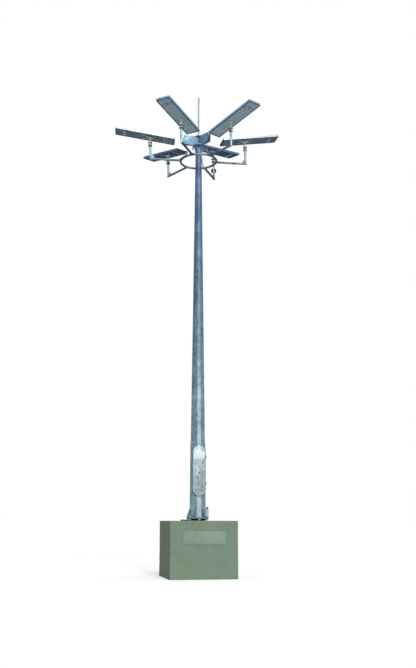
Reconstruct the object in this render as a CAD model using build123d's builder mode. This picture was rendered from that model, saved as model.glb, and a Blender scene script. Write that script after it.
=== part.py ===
"""Galvanised high mast tower: plinth, two-section twelve-sided mast, head frame and a lowering
carriage with six all-in-one solar lamps.  Millimetres, +Z up, origin at the middle of the plinth's
underside, door facing -Y."""
import os
from math import atan2, cos, degrees, radians, sin, tan

from build123d import *

os.makedirs("parts", exist_ok=True)

# ---------------------------------------------------------------- driving sizes
FINE, COARSE, CORD = 24, 12, 6   # sides given to wide discs, to tubes and bolts, and to ropes
SEAT = 0.3                       # gap left between two fixed pieces that meet
RUN = 0.05                       # radial clearance of a hinge pin
SWING = 5.0                      # clearance between a moving piece and a fixed one

PLINTH_W, PLINTH_D, PLINTH_H = 1665.0, 1790.0, 1370.0
PLINTH_CHAMFER = 14.0
PLAQUE_W, PLAQUE_H, PLAQUE_T = 1040.0, 310.0, 14.0
PLAQUE_DROP = 240.0              # plinth top down to the plaque's top edge

MAST_H = 10060.0                 # plinth top to mast top
SIDES = 12
LOWER_BASE_AF, LOWER_TOP_AF, LOWER_WALL = 392.0, 370.0, 6.0
UPPER_BASE_AF, UPPER_TOP_AF, UPPER_WALL = 352.0, 154.0, 5.0
JOINT_H = 1960.0                 # plinth top to the slip joint's lip
SPIGOT_LEN = 300.0

FLANGE_R, FLANGE_T, FLANGE_GAP = 280.0, 22.0, 50.0
STUD_R, STUD_PCR, STUD_COUNT = 15.0, 250.0, 6
STUD_TAIL = 30.0                 # stud left showing above its top nut
NUT_R, NUT_T = 26.0, 22.0
SLEEVE_R, SLEEVE_WALL = 182.0, 30.0   # cable sleeve between plinth and flange
BASE_GUSSET_H, BASE_GUSSET_T = 230.0, 10.0

DOOR_FRAME_W, DOOR_FRAME_H, DOOR_FRAME_RIM = 340.0, 1270.0, 22.0
DOOR_SILL_H = 600.0              # plinth top to the door frame's lowest point
DOOR_LEAF_LAP, DOOR_LEAF_T = 10.0, 6.0
DOOR_PROUD = 14.0                # door frame's face in front of the mast's front facet
DOOR_INNER = 70.0                # door frame's inner end, from the mast axis
HINGE_OFFSET_Z, HINGE_PIN_R, HINGE_BARREL_R, HINGE_LEN = 330.0, 4.5, 8.0, 60.0
HINGE_EAR_T, STRAP_T, STRAP_LAND = 8.0, 4.0, 15.0
LABEL_MARGIN, LABEL_H, LABEL_T = 20.0, 190.0, 2.0
LABEL_UP = 420.0                 # door centre up to the label's centre
LOCK_UP = -65.0                  # door centre up to the lock

RING_R, TUBE_R, TUBE_WALL = 487.0, 30.0, 4.0
RING_SIDES = 48                  # straight lengths that the ring is bent from
RING_H = MAST_H - 441.0          # plinth top to the ring's centre line
POST_R = 1326.0                  # mast axis to a lamp post's axis
POST_TOP = 600.0                 # ring centre line up to a post's top
FITTER_R, FITTER_FOOT = 40.0, 480.0
FITTER_COLLAR_R, FITTER_COLLAR_H = 48.0, 34.0
LAMP_SEAT = 641.0                # ring centre line up to the lamp's underside
POST_GUSSET, POST_GUSSET_T = 110.0, 8.0

DIP, DIP_DEG = 1.5, 101.0        # the carriage hangs this far out of level, low at this heading

LAMP_IN, LAMP_OUT, LAMP_W, LAMP_T = 673.0, 960.0, 402.0, 58.0
LAMP_RIM, LAMP_LEDGE, PANEL_T, UNDER_T = 16.0, 8.0, 4.0, 5.0
MOUNT_W, MOUNT_T = 150.0, 8.0

# heading of each arm, then its lamp: turn on the post, upward tilt, sideways roll, extra lift
ARMS = ((30, 8.8, 9.7, -1.2, 0), (90, 6.7, 10.6, 0.4, -28), (150, 1.5, 11.2, 0.5, 0),
        (210, 23.7, 7.7, 2.1, 200), (270, -4.3, 9.5, -1.5, 20), (330, -0.4, 10.6, -1.4, 0))
COLLAR_SHARE = 0.6               # part of a lamp's extra lift that its fitter's collar takes up
HEAD_ARMS = (87, 207, 327)       # headings of the pulley arms and their ropes

HEAD_DISC_R, HEAD_DISC_T, HEAD_GUSSET_H = 170.0, 12.0, 215.0
HEAD_ARM_W, HEAD_ARM_H, HEAD_ARM_LEN, HEAD_PLATE = 100.0, 258.0, 420.0, 8.0
SHEAVE_AT, SHEAVE_R, SHEAVE_GROOVE, SHEAVE_T = 230.0, 105.0, 95.0, 34.0
AXLE_R = 10.0
ROPE_R = 6.0
ROPE_DROP_R = 24.0               # mast axis to a rope going down inside the mast
ROD_R, ROD_SOCKET_R = 16.0, 20.0
ROD_TIP_H = MAST_H + 1480.0
ROD_COUPLING_H = MAST_H + 705.0

# ---------------------------------------------------------------- derived sizes
MAST_FOOT_Z = PLINTH_H + FLANGE_GAP + FLANGE_T
MAST_TOP_Z = PLINTH_H + MAST_H
JOINT_Z = PLINTH_H + JOINT_H
RING_Z = PLINTH_H + RING_H
DOOR_Z = PLINTH_H + DOOR_SILL_H + DOOR_FRAME_H / 2
DOOR_FACE = LOWER_BASE_AF / 2 + DOOR_PROUD
LEAF_BACK = DOOR_FACE + SWING
LEAF_FACE = LEAF_BACK + DOOR_LEAF_T
HINGE_Y = -(LEAF_BACK + DOOR_LEAF_T / 2)
LEAF_W = DOOR_FRAME_W - 2 * DOOR_LEAF_LAP
HINGE_X = LEAF_W / 2 + HINGE_BARREL_R + SWING
LEAF_H = DOOR_FRAME_H - 2 * DOOR_LEAF_LAP
LABEL_W = LEAF_W - 2 * LABEL_MARGIN
STRAP_END_X = LEAF_W / 2 - STRAP_LAND
HEAD_Z = MAST_TOP_Z + HEAD_DISC_T
SHEAVE_Z = HEAD_Z + HEAD_ARM_H / 2
ROPE_PITCH_R = SHEAVE_GROOVE + SEAT + ROPE_R
ROPE_FALL_R = SHEAVE_AT + ROPE_PITCH_R
LUG_TOP = 175.0
LAMP_LEN = LAMP_IN + LAMP_OUT
LOW_X, LOW_Y = -sin(radians(DIP_DEG)), -cos(radians(DIP_DEG))
HANG = Pos(0, 0, RING_Z) * Location((0, 0, 0), (-LOW_Y, LOW_X, 0), DIP) * Pos(0, 0, -RING_Z)


def heading(deg):
    """Unit vector in plan; 0 is -Y (the door side) and 90 is -X."""
    return (-sin(radians(deg)), -cos(radians(deg)), 0.0)


def plan(deg, z=0.0):
    """Horizontal plane on the mast axis whose x runs outward along a heading."""
    return Plane(origin=(0, 0, z), x_dir=heading(deg), z_dir=(0, 0, 1))


def upright(deg, z=0.0):
    """Vertical plane through the mast axis: x outward along a heading, y up."""
    hx, hy, _ = heading(deg)
    return Plane(origin=(0, 0, z), x_dir=(hx, hy, 0), z_dir=(hy, -hx, 0))


def hung(plane):
    """A plane laid out on the level carriage, moved to where the carriage hangs."""
    return Plane(HANG * plane.location)


def hung_height(x, y, up):
    """Height at a place in plan of the carriage's level a distance above the ring's centre."""
    level = hung(Plane.XY.offset(RING_Z + up))
    lean, spot = level.z_dir, level.origin
    return spot.Z - (lean.X * (x - spot.X) + lean.Y * (y - spot.Y)) / lean.Z


def post_foot(deg):
    """Point where a lamp post stands on its arm, on the level carriage."""
    hx, hy, _ = heading(deg)
    return (POST_R * hx, POST_R * hy, RING_Z)


def post_plane(deg, up):
    """Level plane on a lamp post's axis, a height above the arm's centre line."""
    fx, fy, fz = post_foot(deg)
    return hung(Plane(origin=(fx, fy, fz + up), x_dir=heading(deg), z_dir=(0, 0, 1)))


def lamp_plane(arm, drop=0.0):
    """Plane of a lamp's underside: x along the lamp towards its outer end."""
    deg, turn, tilt, roll, lift = arm
    fx, fy, fz = post_foot(deg)
    flat = Plane(origin=(fx, fy, fz + LAMP_SEAT + lift), x_dir=heading(deg + turn), z_dir=(0, 0, 1))
    leaning = flat.location * Location((0, 0, 0), (0, 1, 0), -tilt) * Location((0, 0, 0), (1, 0, 0), roll)
    return hung(Plane(leaning)).offset(drop)


def polygon_ring(z, across, shrink=0.0):
    """One station of the twelve-sided mast, a flat facing the door side."""
    with BuildSketch(Plane.XY.offset(z)) as station:
        RegularPolygon(across / 2 - shrink, SIDES, major_radius=False, rotation=180 / SIDES)
    return station.sketch


def tapered(z0, across0, z1, across1, shrink, mode=Mode.ADD):
    """Add or cut one straight tapered length of the mast."""
    lean = degrees(atan2((across0 - across1) / 2, z1 - z0))
    extrude(polygon_ring(z0, across0, shrink), amount=z1 - z0, taper=lean, mode=mode)


def upper_af(z):
    """Across-flats size of the upper section at a height."""
    return UPPER_BASE_AF + (UPPER_TOP_AF - UPPER_BASE_AF) * (z - JOINT_Z) / (MAST_TOP_Z - JOINT_Z)


def lower_af(z):
    """Across-flats size of the lower section at a height."""
    return LOWER_BASE_AF + (LOWER_TOP_AF - LOWER_BASE_AF) * (z - MAST_FOOT_Z) / (JOINT_Z - MAST_FOOT_Z)


def save(built, name):
    """Label a finished piece and write its file."""
    built.part.label = name
    export_step(built.part, f"parts/{name}.step")


# ---------------------------------------------------------------- plinth
with BuildPart() as plinth:
    with Locations((0, 0, PLINTH_H / 2)):
        Box(PLINTH_W, PLINTH_D, PLINTH_H)
    chamfer(plinth.edges().filter_by(Axis.Z), PLINTH_CHAMFER)
    chamfer(plinth.faces().sort_by(Axis.Z)[-1].edges(), PLINTH_CHAMFER)
save(plinth, "plinth")

PLAQUE_Z = PLINTH_H - PLAQUE_DROP - PLAQUE_H / 2
with BuildPart() as plinth_plaque:
    with BuildSketch(Plane(origin=(0, -PLINTH_D / 2, PLAQUE_Z), x_dir=(1, 0, 0), z_dir=(0, -1, 0))):
        Rectangle(PLAQUE_W, PLAQUE_H)
    extrude(amount=PLAQUE_T)
    chamfer(plinth_plaque.faces().sort_by(Axis.Y)[0].edges(), 4)
save(plinth_plaque, "plinth_plaque")

# ---------------------------------------------------------------- mast foot
FLANGE_Z = PLINTH_H + FLANGE_GAP
STUD_TOP = FLANGE_T + NUT_T + STUD_TAIL
with BuildPart() as base_flange:
    with BuildSketch(Plane.XY.offset(FLANGE_Z)):
        RegularPolygon(FLANGE_R, 2 * FINE)
        RegularPolygon(SLEEVE_R - SLEEVE_WALL, FINE, mode=Mode.SUBTRACT)
        with PolarLocations(STUD_PCR, STUD_COUNT, start_angle=-90):
            RegularPolygon(STUD_R + SEAT, COARSE, mode=Mode.SUBTRACT)
    extrude(amount=FLANGE_T)
    for k in range(STUD_COUNT):
        deg = (k + 0.5) * 360 / STUD_COUNT
        foot = LOWER_BASE_AF / 2 + SEAT
        lean = (lower_af(MAST_FOOT_Z) - lower_af(MAST_FOOT_Z + BASE_GUSSET_H)) / 2
        with BuildSketch(upright(deg, MAST_FOOT_Z)):
            Polygon((foot, 0), (FLANGE_R, 0), (FLANGE_R, 24), (foot + 12 - lean, BASE_GUSSET_H),
                    (foot - lean, BASE_GUSSET_H), align=None)
        extrude(amount=BASE_GUSSET_T / 2, both=True)
save(base_flange, "base_flange")

with BuildPart() as anchor_bolts:
    with BuildSketch(Plane.XY.offset(PLINTH_H)):
        with PolarLocations(STUD_PCR, STUD_COUNT, start_angle=-90):
            RegularPolygon(STUD_R, COARSE)
    extrude(amount=FLANGE_GAP + STUD_TOP)
    for z in (FLANGE_Z - NUT_T, FLANGE_Z + FLANGE_T):
        with BuildSketch(Plane.XY.offset(z)):
            with PolarLocations(STUD_PCR, STUD_COUNT, start_angle=-90):
                RegularPolygon(NUT_R, 6)
        extrude(amount=NUT_T)
save(anchor_bolts, "anchor_bolts")

with BuildPart() as foot_sleeve:
    with BuildSketch(Plane.XY.offset(PLINTH_H + SEAT)):
        RegularPolygon(SLEEVE_R, FINE)
        RegularPolygon(SLEEVE_R - SLEEVE_WALL, FINE, mode=Mode.SUBTRACT)
    extrude(amount=FLANGE_GAP - 2 * SEAT)
save(foot_sleeve, "foot_sleeve")

EARTH_FIN_DEG, EARTH_FIN_T, EARTH_FIN_OUT, EARTH_FIN_H = 285, 8.0, 276.0, 272.0
with BuildPart() as earth_lug:
    inner = LOWER_BASE_AF / 2 + 12
    with BuildSketch(upright(EARTH_FIN_DEG, MAST_FOOT_Z)):
        Polygon((inner, 0), (EARTH_FIN_OUT, 0), (EARTH_FIN_OUT, EARTH_FIN_H - 22),
                (EARTH_FIN_OUT - 18, EARTH_FIN_H), (inner + 16, EARTH_FIN_H),
                (inner + 4, EARTH_FIN_H - 22), (inner, 120), align=None)
        with Locations(((inner + EARTH_FIN_OUT) / 2, EARTH_FIN_H - 32)):
            Circle(11, mode=Mode.SUBTRACT)
    extrude(amount=EARTH_FIN_T / 2, both=True)
save(earth_lug, "earth_lug")

STRIP_IN, STRIP_W = 190.0, 36.0
with BuildPart() as earth_strip:
    with BuildSketch(upright(96, PLINTH_H)):
        Polygon((STRIP_IN, 0), (300, 0), (430, 42), (430, 47), (300, 5), (STRIP_IN, 5), align=None)
    extrude(amount=STRIP_W / 2, both=True)
save(earth_strip, "earth_strip")

# ---------------------------------------------------------------- mast sections
BOLT_HEADINGS = (60, 150, 240, 330)
JOINT_BOLT_DROP, JOINT_BOLT_R = 35.0, 9.0
JOINT_NUT_R, JOINT_NUT_T, JOINT_BOLT_IN = 21.0, 18.0, 26.0
BOLT_Z = JOINT_Z - JOINT_BOLT_DROP


def cut_door_and_bolts():
    """Cut the door frame's opening and the joint's bolt holes in a mast wall."""
    with BuildSketch(Plane(origin=(0, 0, DOOR_Z), x_dir=(1, 0, 0), z_dir=(0, -1, 0))) as doorway:
        SlotOverall(DOOR_FRAME_H + 2 * SEAT, DOOR_FRAME_W + 2 * SEAT, rotation=90)
    extrude(doorway.sketch, amount=LOWER_BASE_AF, mode=Mode.SUBTRACT)
    for bolt in BOLT_HEADINGS:
        with BuildSketch(Plane(origin=(0, 0, BOLT_Z), x_dir=(0, 0, 1), z_dir=heading(bolt))) as hole:
            RegularPolygon(JOINT_BOLT_R + SEAT, COARSE)
        extrude(hole.sketch, amount=LOWER_BASE_AF, mode=Mode.SUBTRACT)


with BuildPart() as mast_lower:
    tapered(MAST_FOOT_Z, LOWER_BASE_AF, JOINT_Z, LOWER_TOP_AF, 0)
    tapered(MAST_FOOT_Z, LOWER_BASE_AF, JOINT_Z, LOWER_TOP_AF, LOWER_WALL, Mode.SUBTRACT)
    cut_door_and_bolts()
save(mast_lower, "mast_lower")

SPIGOT_Z = JOINT_Z - SPIGOT_LEN
SPIGOT_SHRINK = LOWER_WALL + SEAT
with BuildPart() as mast_upper:
    tapered(JOINT_Z, UPPER_BASE_AF, MAST_TOP_Z, UPPER_TOP_AF, 0)
    tapered(SPIGOT_Z, lower_af(SPIGOT_Z), JOINT_Z, LOWER_TOP_AF, SPIGOT_SHRINK)
    tapered(JOINT_Z, UPPER_BASE_AF, MAST_TOP_Z, UPPER_TOP_AF, UPPER_WALL, Mode.SUBTRACT)
    tapered(SPIGOT_Z, lower_af(SPIGOT_Z), JOINT_Z, LOWER_TOP_AF,
            SPIGOT_SHRINK + (LOWER_TOP_AF - UPPER_BASE_AF) / 2, Mode.SUBTRACT)
    cut_door_and_bolts()
save(mast_upper, "mast_upper")

with BuildPart() as joint_bolts:
    for deg in BOLT_HEADINGS:
        hx, hy, _ = heading(deg)
        skin = lower_af(BOLT_Z) / 2 + 1.0
        for start, radius, length in ((skin - JOINT_BOLT_IN, JOINT_BOLT_R, JOINT_BOLT_IN),
                                      (skin, JOINT_NUT_R, JOINT_NUT_T)):
            with BuildSketch(Plane(origin=(start * hx, start * hy, BOLT_Z), x_dir=(0, 0, 1),
                                   z_dir=(hx, hy, 0))):
                RegularPolygon(radius, COARSE)
            extrude(amount=length)
save(joint_bolts, "joint_bolts")

# ---------------------------------------------------------------- door
def door_plane(depth, up=0.0, across=0.0):
    """Plane parallel to the door, a distance in front of the mast axis."""
    return Plane(origin=(across, -depth, DOOR_Z + up), x_dir=(1, 0, 0), z_dir=(0, -1, 0))


with BuildPart() as door_frame:
    with BuildSketch(door_plane(DOOR_INNER)):
        SlotOverall(DOOR_FRAME_H, DOOR_FRAME_W, rotation=90)
        SlotOverall(DOOR_FRAME_H - 2 * DOOR_FRAME_RIM, DOOR_FRAME_W - 2 * DOOR_FRAME_RIM,
                    rotation=90, mode=Mode.SUBTRACT)
    extrude(amount=DOOR_FACE - DOOR_INNER)
save(door_frame, "door_frame")

LOCK_R, LOCK_BEHIND, LOCK_PROUD, CAM_T = 15.0, 20.0, 3.0, 6.0
with BuildPart() as door:
    with BuildSketch(door_plane(LEAF_BACK)):
        SlotOverall(LEAF_H, LEAF_W, rotation=90)
        with Locations((0, LOCK_UP)):
            Circle(LOCK_R, mode=Mode.SUBTRACT)
    extrude(amount=DOOR_LEAF_T)
save(door, "door")

with BuildPart() as door_lock:
    with BuildSketch(door_plane(LEAF_BACK - LOCK_BEHIND, LOCK_UP)):
        Circle(LOCK_R - SEAT)
        RegularPolygon(8, 3, mode=Mode.SUBTRACT)
    extrude(amount=DOOR_LEAF_T + LOCK_BEHIND + LOCK_PROUD)
    with BuildSketch(door_plane(LEAF_BACK - LOCK_BEHIND - CAM_T, LOCK_UP)):
        Circle(LOCK_R - SEAT)
        with Locations((0, 30)):
            Rectangle(24, 90)
    extrude(amount=CAM_T)
save(door_lock, "door_lock")

with BuildPart() as door_label:
    with BuildSketch(door_plane(LEAF_FACE, LABEL_UP)):
        RectangleRounded(LABEL_W, LABEL_H, 12)
    extrude(amount=LABEL_T)
save(door_label, "door_label")

with BuildPart() as hinge_brackets:
    for side in (-1, 1):
        mid = DOOR_Z + side * HINGE_OFFSET_Z
        gap = HINGE_LEN / 2 + 2
        for low in (mid - gap - HINGE_EAR_T, mid + gap):
            with BuildSketch(Plane.XY.offset(low)):
                Polygon((DOOR_FRAME_W / 2 + SEAT, -DOOR_FACE + 30), (DOOR_FRAME_W / 2 + SEAT, -DOOR_FACE + 4),
                        (HINGE_X, HINGE_Y), (HINGE_X + HINGE_BARREL_R, HINGE_Y),
                        (HINGE_X + HINGE_BARREL_R, -DOOR_FACE + 14), align=None)
                with Locations((HINGE_X, HINGE_Y)):
                    RegularPolygon(HINGE_BARREL_R, COARSE)
            extrude(amount=HINGE_EAR_T)
        with BuildSketch(Plane.XY.offset(mid - gap - HINGE_EAR_T - 4)):
            with Locations((HINGE_X, HINGE_Y)):
                Circle(HINGE_PIN_R)
        extrude(amount=2 * (gap + HINGE_EAR_T + 4))
save(hinge_brackets, "hinge_brackets")

with BuildPart() as hinge_straps:
    for side in (-1, 1):
        mid = DOOR_Z + side * HINGE_OFFSET_Z
        with BuildSketch(Plane.XY.offset(mid - HINGE_LEN / 2)):
            with Locations((HINGE_X, HINGE_Y)):
                Circle(HINGE_BARREL_R)
            Polygon((HINGE_X, -LEAF_FACE), (HINGE_X, -LEAF_FACE - STRAP_T),
                    (STRAP_END_X, -LEAF_FACE - STRAP_T), (STRAP_END_X, -LEAF_FACE), align=None)
            with Locations((HINGE_X, HINGE_Y)):
                Circle(HINGE_PIN_R + RUN, mode=Mode.SUBTRACT)
        extrude(amount=HINGE_LEN)
save(hinge_straps, "hinge_straps")

# ---------------------------------------------------------------- head
with BuildPart() as head_plate:
    with BuildSketch(Plane.XY.offset(MAST_TOP_Z)):
        RegularPolygon(HEAD_DISC_R, FINE)
        RegularPolygon(ROPE_DROP_R + ROPE_R + SWING, COARSE, major_radius=False, mode=Mode.SUBTRACT)
    extrude(amount=HEAD_DISC_T)
    for k in range(6):
        top = UPPER_TOP_AF / 2 + SEAT
        low = upper_af(MAST_TOP_Z - HEAD_GUSSET_H) / 2 + SEAT
        with BuildSketch(upright(30 + 60 * k, MAST_TOP_Z)):
            Polygon((top, 0), (HEAD_DISC_R - 4, 0), (HEAD_DISC_R - 4, -20), (low + 12, -HEAD_GUSSET_H),
                    (low, -HEAD_GUSSET_H), align=None)
        extrude(amount=4, both=True)
save(head_plate, "head_plate")

COVER_IN, COVER_OUT = 60.0, SHEAVE_AT + 80.0
half = HEAD_ARM_W / 2
mitre = tan(radians(60))
for number, deg in enumerate(HEAD_ARMS, start=1):
    with BuildPart() as head_arm:
        with BuildSketch(plan(deg, HEAD_Z)):
            for s in (-1, 1):
                Polygon((half / mitre + SEAT, s * half), (HEAD_ARM_LEN, s * half),
                        (HEAD_ARM_LEN, s * (half - HEAD_PLATE)),
                        ((half - HEAD_PLATE) / mitre + SEAT, s * (half - HEAD_PLATE)), align=None)
        extrude(amount=HEAD_ARM_H)
        for z in (HEAD_Z, HEAD_Z + HEAD_ARM_H - HEAD_PLATE):
            with BuildSketch(plan(deg, z)):
                with Locations(((COVER_IN + COVER_OUT) / 2, 0)):
                    Rectangle(COVER_OUT - COVER_IN, HEAD_ARM_W - HEAD_PLATE)
            extrude(amount=HEAD_PLATE)
        with BuildSketch(upright(deg, SHEAVE_Z)):
            with Locations((SHEAVE_AT, 0)):
                RegularPolygon(AXLE_R + SEAT, COARSE)
        extrude(amount=HEAD_ARM_W, both=True, mode=Mode.SUBTRACT)
    save(head_arm, f"head_arm_{number}")

AXLE_NUT_R, AXLE_NUT_T, AXLE_TAIL = 18.0, 9.0, 12.0


def axle_plane(deg, across):
    """Plane square to a pulley's axle, a signed distance along it from the arm's middle."""
    hx, hy, _ = heading(deg)
    side = 1 if across > 0 else -1
    return Plane(origin=(SHEAVE_AT * hx + across * hy, SHEAVE_AT * hy - across * hx, SHEAVE_Z),
                 x_dir=(hx, hy, 0), z_dir=(side * hy, -side * hx, 0))


with BuildPart() as sheaves:
    for deg in HEAD_ARMS:
        for radius, sides, depth in ((AXLE_R, COARSE, HEAD_ARM_W + 2 * AXLE_TAIL),
                                     (SHEAVE_GROOVE, FINE, SHEAVE_T)):
            with BuildSketch(upright(deg, SHEAVE_Z)):
                with Locations((SHEAVE_AT, 0)):
                    RegularPolygon(radius, sides)
            extrude(amount=depth / 2, both=True)
        for side in (-1, 1):
            flank = ROPE_R + 1.5
            with BuildSketch(axle_plane(deg, side * flank)):
                RegularPolygon(SHEAVE_R, FINE)
            extrude(amount=SHEAVE_T / 2 - flank)
            with BuildSketch(axle_plane(deg, side * (HEAD_ARM_W / 2 + SEAT))):
                RegularPolygon(AXLE_NUT_R, 6)
            extrude(amount=AXLE_NUT_T)
save(sheaves, "sheaves")

ROD_Z = HEAD_Z + HEAD_ARM_H
ROD_FOOT_R, ROD_FOOT_T, ROD_SOCKET_H, ROD_POINT_H = 120.0, 10.0, 60.0, 160.0
ROD_TOP_Z = PLINTH_H + ROD_TIP_H
with BuildPart() as lightning_rod:
    for base, radius, length in ((ROD_Z, ROD_FOOT_R, ROD_FOOT_T),
                                 (ROD_Z, ROD_SOCKET_R + 6, ROD_FOOT_T + ROD_SOCKET_H),
                                 (ROD_Z, ROD_R, ROD_TOP_Z - ROD_POINT_H - ROD_Z),
                                 (ROD_TOP_Z - ROD_POINT_H, ROD_SOCKET_R, ROD_POINT_H),
                                 (PLINTH_H + ROD_COUPLING_H, ROD_SOCKET_R, 45.0)):
        with BuildSketch(Plane.XY.offset(base)):
            RegularPolygon(radius, COARSE)
        extrude(amount=length)
save(lightning_rod, "lightning_rod")

# ---------------------------------------------------------------- ropes
for number, deg in enumerate(HEAD_ARMS, start=1):
    x, y = (ROPE_FALL_R * part for part in heading(deg)[:2])
    foot = hung_height(x, y, LUG_TOP + SEAT)
    with BuildPart() as rope_fall:
        with BuildSketch(Plane(origin=(x, y, foot), x_dir=heading(deg), z_dir=(0, 0, 1))):
            RegularPolygon(ROPE_R, CORD)
        extrude(amount=SHEAVE_Z - foot)
    save(rope_fall, f"rope_{number}")

ROPE_BEND = 26.0
with BuildPart() as rope_runs:
    for deg in HEAD_ARMS:
        with BuildLine(upright(deg, SHEAVE_Z)) as path:
            over = ROPE_PITCH_R
            RadiusArc((ROPE_FALL_R, 0), (SHEAVE_AT, over), -over)
            Line((SHEAVE_AT, over), (ROPE_DROP_R + ROPE_BEND, over))
            RadiusArc((ROPE_DROP_R + ROPE_BEND, over), (ROPE_DROP_R, over - ROPE_BEND), -ROPE_BEND)
            Line((ROPE_DROP_R, over - ROPE_BEND), (ROPE_DROP_R, -500))
        hx, hy, _ = heading(deg)
        with BuildSketch(Plane(origin=(ROPE_FALL_R * hx, ROPE_FALL_R * hy, SHEAVE_Z),
                               x_dir=(hx, hy, 0), z_dir=(0, 0, 1))):
            RegularPolygon(ROPE_R, CORD)
        sweep(path=path.wires()[0])
save(rope_runs, "rope_runs")

# ---------------------------------------------------------------- carriage
def ring_tube(radius, mode=Mode.ADD):
    """Sweep the ring's tube, or with more radius a cutter for the pieces that seat on it."""
    corner = RING_R / cos(radians(180 / RING_SIDES))
    turns = (radians((k + 0.5) * 360 / RING_SIDES) for k in range(RING_SIDES))
    with BuildLine(hung(Plane.XY.offset(RING_Z))) as loop:
        Polyline((RING_R, 0), *((corner * cos(a), corner * sin(a)) for a in turns), close=True)
    with BuildSketch(hung(Plane(origin=(RING_R, 0, RING_Z), x_dir=(1, 0, 0), z_dir=(0, 1, 0)))) as bore:
        RegularPolygon(radius, COARSE)
    sweep(bore.sketch, path=loop.wires()[0], transition=Transition.RIGHT, mode=mode)


with BuildPart() as carriage_ring:
    ring_tube(TUBE_R)
save(carriage_ring, "carriage_ring")

LUG_T, LUG_REACH = 12.0, 16.0
with BuildPart() as rope_lugs:
    for deg in HEAD_ARMS:
        saddle = TUBE_R + 2 * SEAT
        with BuildSketch(hung(upright(deg, RING_Z))):
            Polygon((RING_R, 10), (RING_R, saddle), (RING_R + 50, saddle),
                    (ROPE_FALL_R + LUG_REACH, LUG_TOP), (ROPE_FALL_R - LUG_REACH, LUG_TOP),
                    (ROPE_FALL_R - LUG_REACH, LUG_TOP - 34), (RING_R - TUBE_R, 10), align=None)
        extrude(amount=LUG_T / 2, both=True)
    ring_tube(TUBE_R + SEAT, Mode.SUBTRACT)
save(rope_lugs, "rope_lugs")

for number, (deg, _, _, _, lift) in enumerate(ARMS, start=1):
    hx, hy, _ = heading(deg)
    with BuildPart() as arm:
        with BuildLine(hung(upright(deg, RING_Z))) as path:
            Polyline((RING_R, 0), (POST_R, 0), (POST_R, POST_TOP + lift))
        with BuildSketch(hung(Plane(origin=(RING_R * hx, RING_R * hy, RING_Z), x_dir=(0, 0, 1),
                                    z_dir=(hx, hy, 0)))):
            RegularPolygon(TUBE_R, COARSE)
            RegularPolygon(TUBE_R - TUBE_WALL, COARSE, mode=Mode.SUBTRACT)
        sweep(path=path.wires()[0], transition=Transition.RIGHT)
        inset = TUBE_R - TUBE_WALL / 2
        with BuildSketch(hung(upright(deg, RING_Z))):
            Polygon((POST_R - inset, inset), (POST_R - inset, TUBE_R + POST_GUSSET),
                    (POST_R - TUBE_R - POST_GUSSET, inset), align=None)
        extrude(amount=POST_GUSSET_T / 2, both=True)
        ring_tube(TUBE_R + SEAT, Mode.SUBTRACT)
    save(arm, f"arm_{number}")

with BuildPart() as fitters:
    for lamp in ARMS:
        deg, lift = lamp[0], lamp[4]
        foot = FITTER_FOOT + COLLAR_SHARE * lift
        for radius, length in ((FITTER_R, LAMP_SEAT + lift - foot + 30), (FITTER_COLLAR_R, FITTER_COLLAR_H)):
            with BuildSketch(post_plane(deg, foot)):
                RegularPolygon(radius, COARSE)
            extrude(amount=length)
        with BuildSketch(lamp_plane(lamp)):
            Rectangle(LAMP_W, LAMP_W)
        extrude(amount=120, mode=Mode.SUBTRACT)
        with BuildSketch(lamp_plane(lamp, -MOUNT_T)):
            Rectangle(MOUNT_W, MOUNT_W)
        extrude(amount=MOUNT_T)
        with BuildSketch(post_plane(deg, foot)):
            RegularPolygon(TUBE_R + SEAT, COARSE)
        extrude(amount=POST_TOP + lift - foot + SEAT, mode=Mode.SUBTRACT)
save(fitters, "fitters")

MIDDLE = (LAMP_OUT - LAMP_IN) / 2


def lamp_sheet(inset):
    """A rectangle the size of the lamp, drawn in by a margin all round."""
    with Locations((MIDDLE, 0)):
        Rectangle(LAMP_LEN - 2 * inset, LAMP_W - 2 * inset)


for number, lamp in enumerate(ARMS, start=1):
    with BuildPart() as lamp_body:
        with BuildSketch(lamp_plane(lamp)):
            with Locations((MIDDLE, 0)):
                RectangleRounded(LAMP_LEN, LAMP_W, 12)
        extrude(amount=LAMP_T)
        for lift, depth, inset in ((0, UNDER_T, LAMP_RIM), (LAMP_T - PANEL_T, PANEL_T, LAMP_RIM),
                                   (0, LAMP_T, LAMP_RIM + LAMP_LEDGE)):
            with BuildSketch(lamp_plane(lamp, lift)):
                lamp_sheet(inset)
            extrude(amount=depth, mode=Mode.SUBTRACT)
    save(lamp_body, f"lamp_{number}")

for name, lift, depth in (("solar_panels", LAMP_T - PANEL_T, PANEL_T), ("lamp_undersides", 0, UNDER_T)):
    with BuildPart() as sheet:
        for lamp in ARMS:
            with BuildSketch(lamp_plane(lamp, lift)):
                lamp_sheet(LAMP_RIM + SEAT)
            extrude(amount=depth)
    save(sheet, name)

SENSOR_AT, SENSOR_L, SENSOR_W, SENSOR_T, SENSOR_CORNER = LAMP_OUT - 250.0, 80.0, 270.0, 16.0, 18.0
with BuildPart() as sensors:
    for lamp in ARMS:
        with BuildSketch(lamp_plane(lamp, -SENSOR_T)):
            with Locations((SENSOR_AT, 0)):
                chamfer(Rectangle(SENSOR_L, SENSOR_W).vertices(), SENSOR_CORNER)
        extrude(amount=SENSOR_T)
save(sensors, "sensors")

BOX_R, BOX_T, BOX_UP, BOX_ASIDE = 77.5, 56.0, 268.0, -20.0
with BuildPart() as junction_box:
    deg = ARMS[3][0]
    hx, hy, _ = heading(deg)
    back = POST_R + TUBE_R + SEAT
    with BuildSketch(hung(Plane(origin=(back * hx, back * hy, RING_Z + BOX_UP), x_dir=(0, 0, 1),
                                z_dir=(hx, hy, 0)))):
        with Locations((0, BOX_ASIDE)):
            RegularPolygon(BOX_R, FINE)
    extrude(amount=BOX_T)
save(junction_box, "junction_box")
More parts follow.
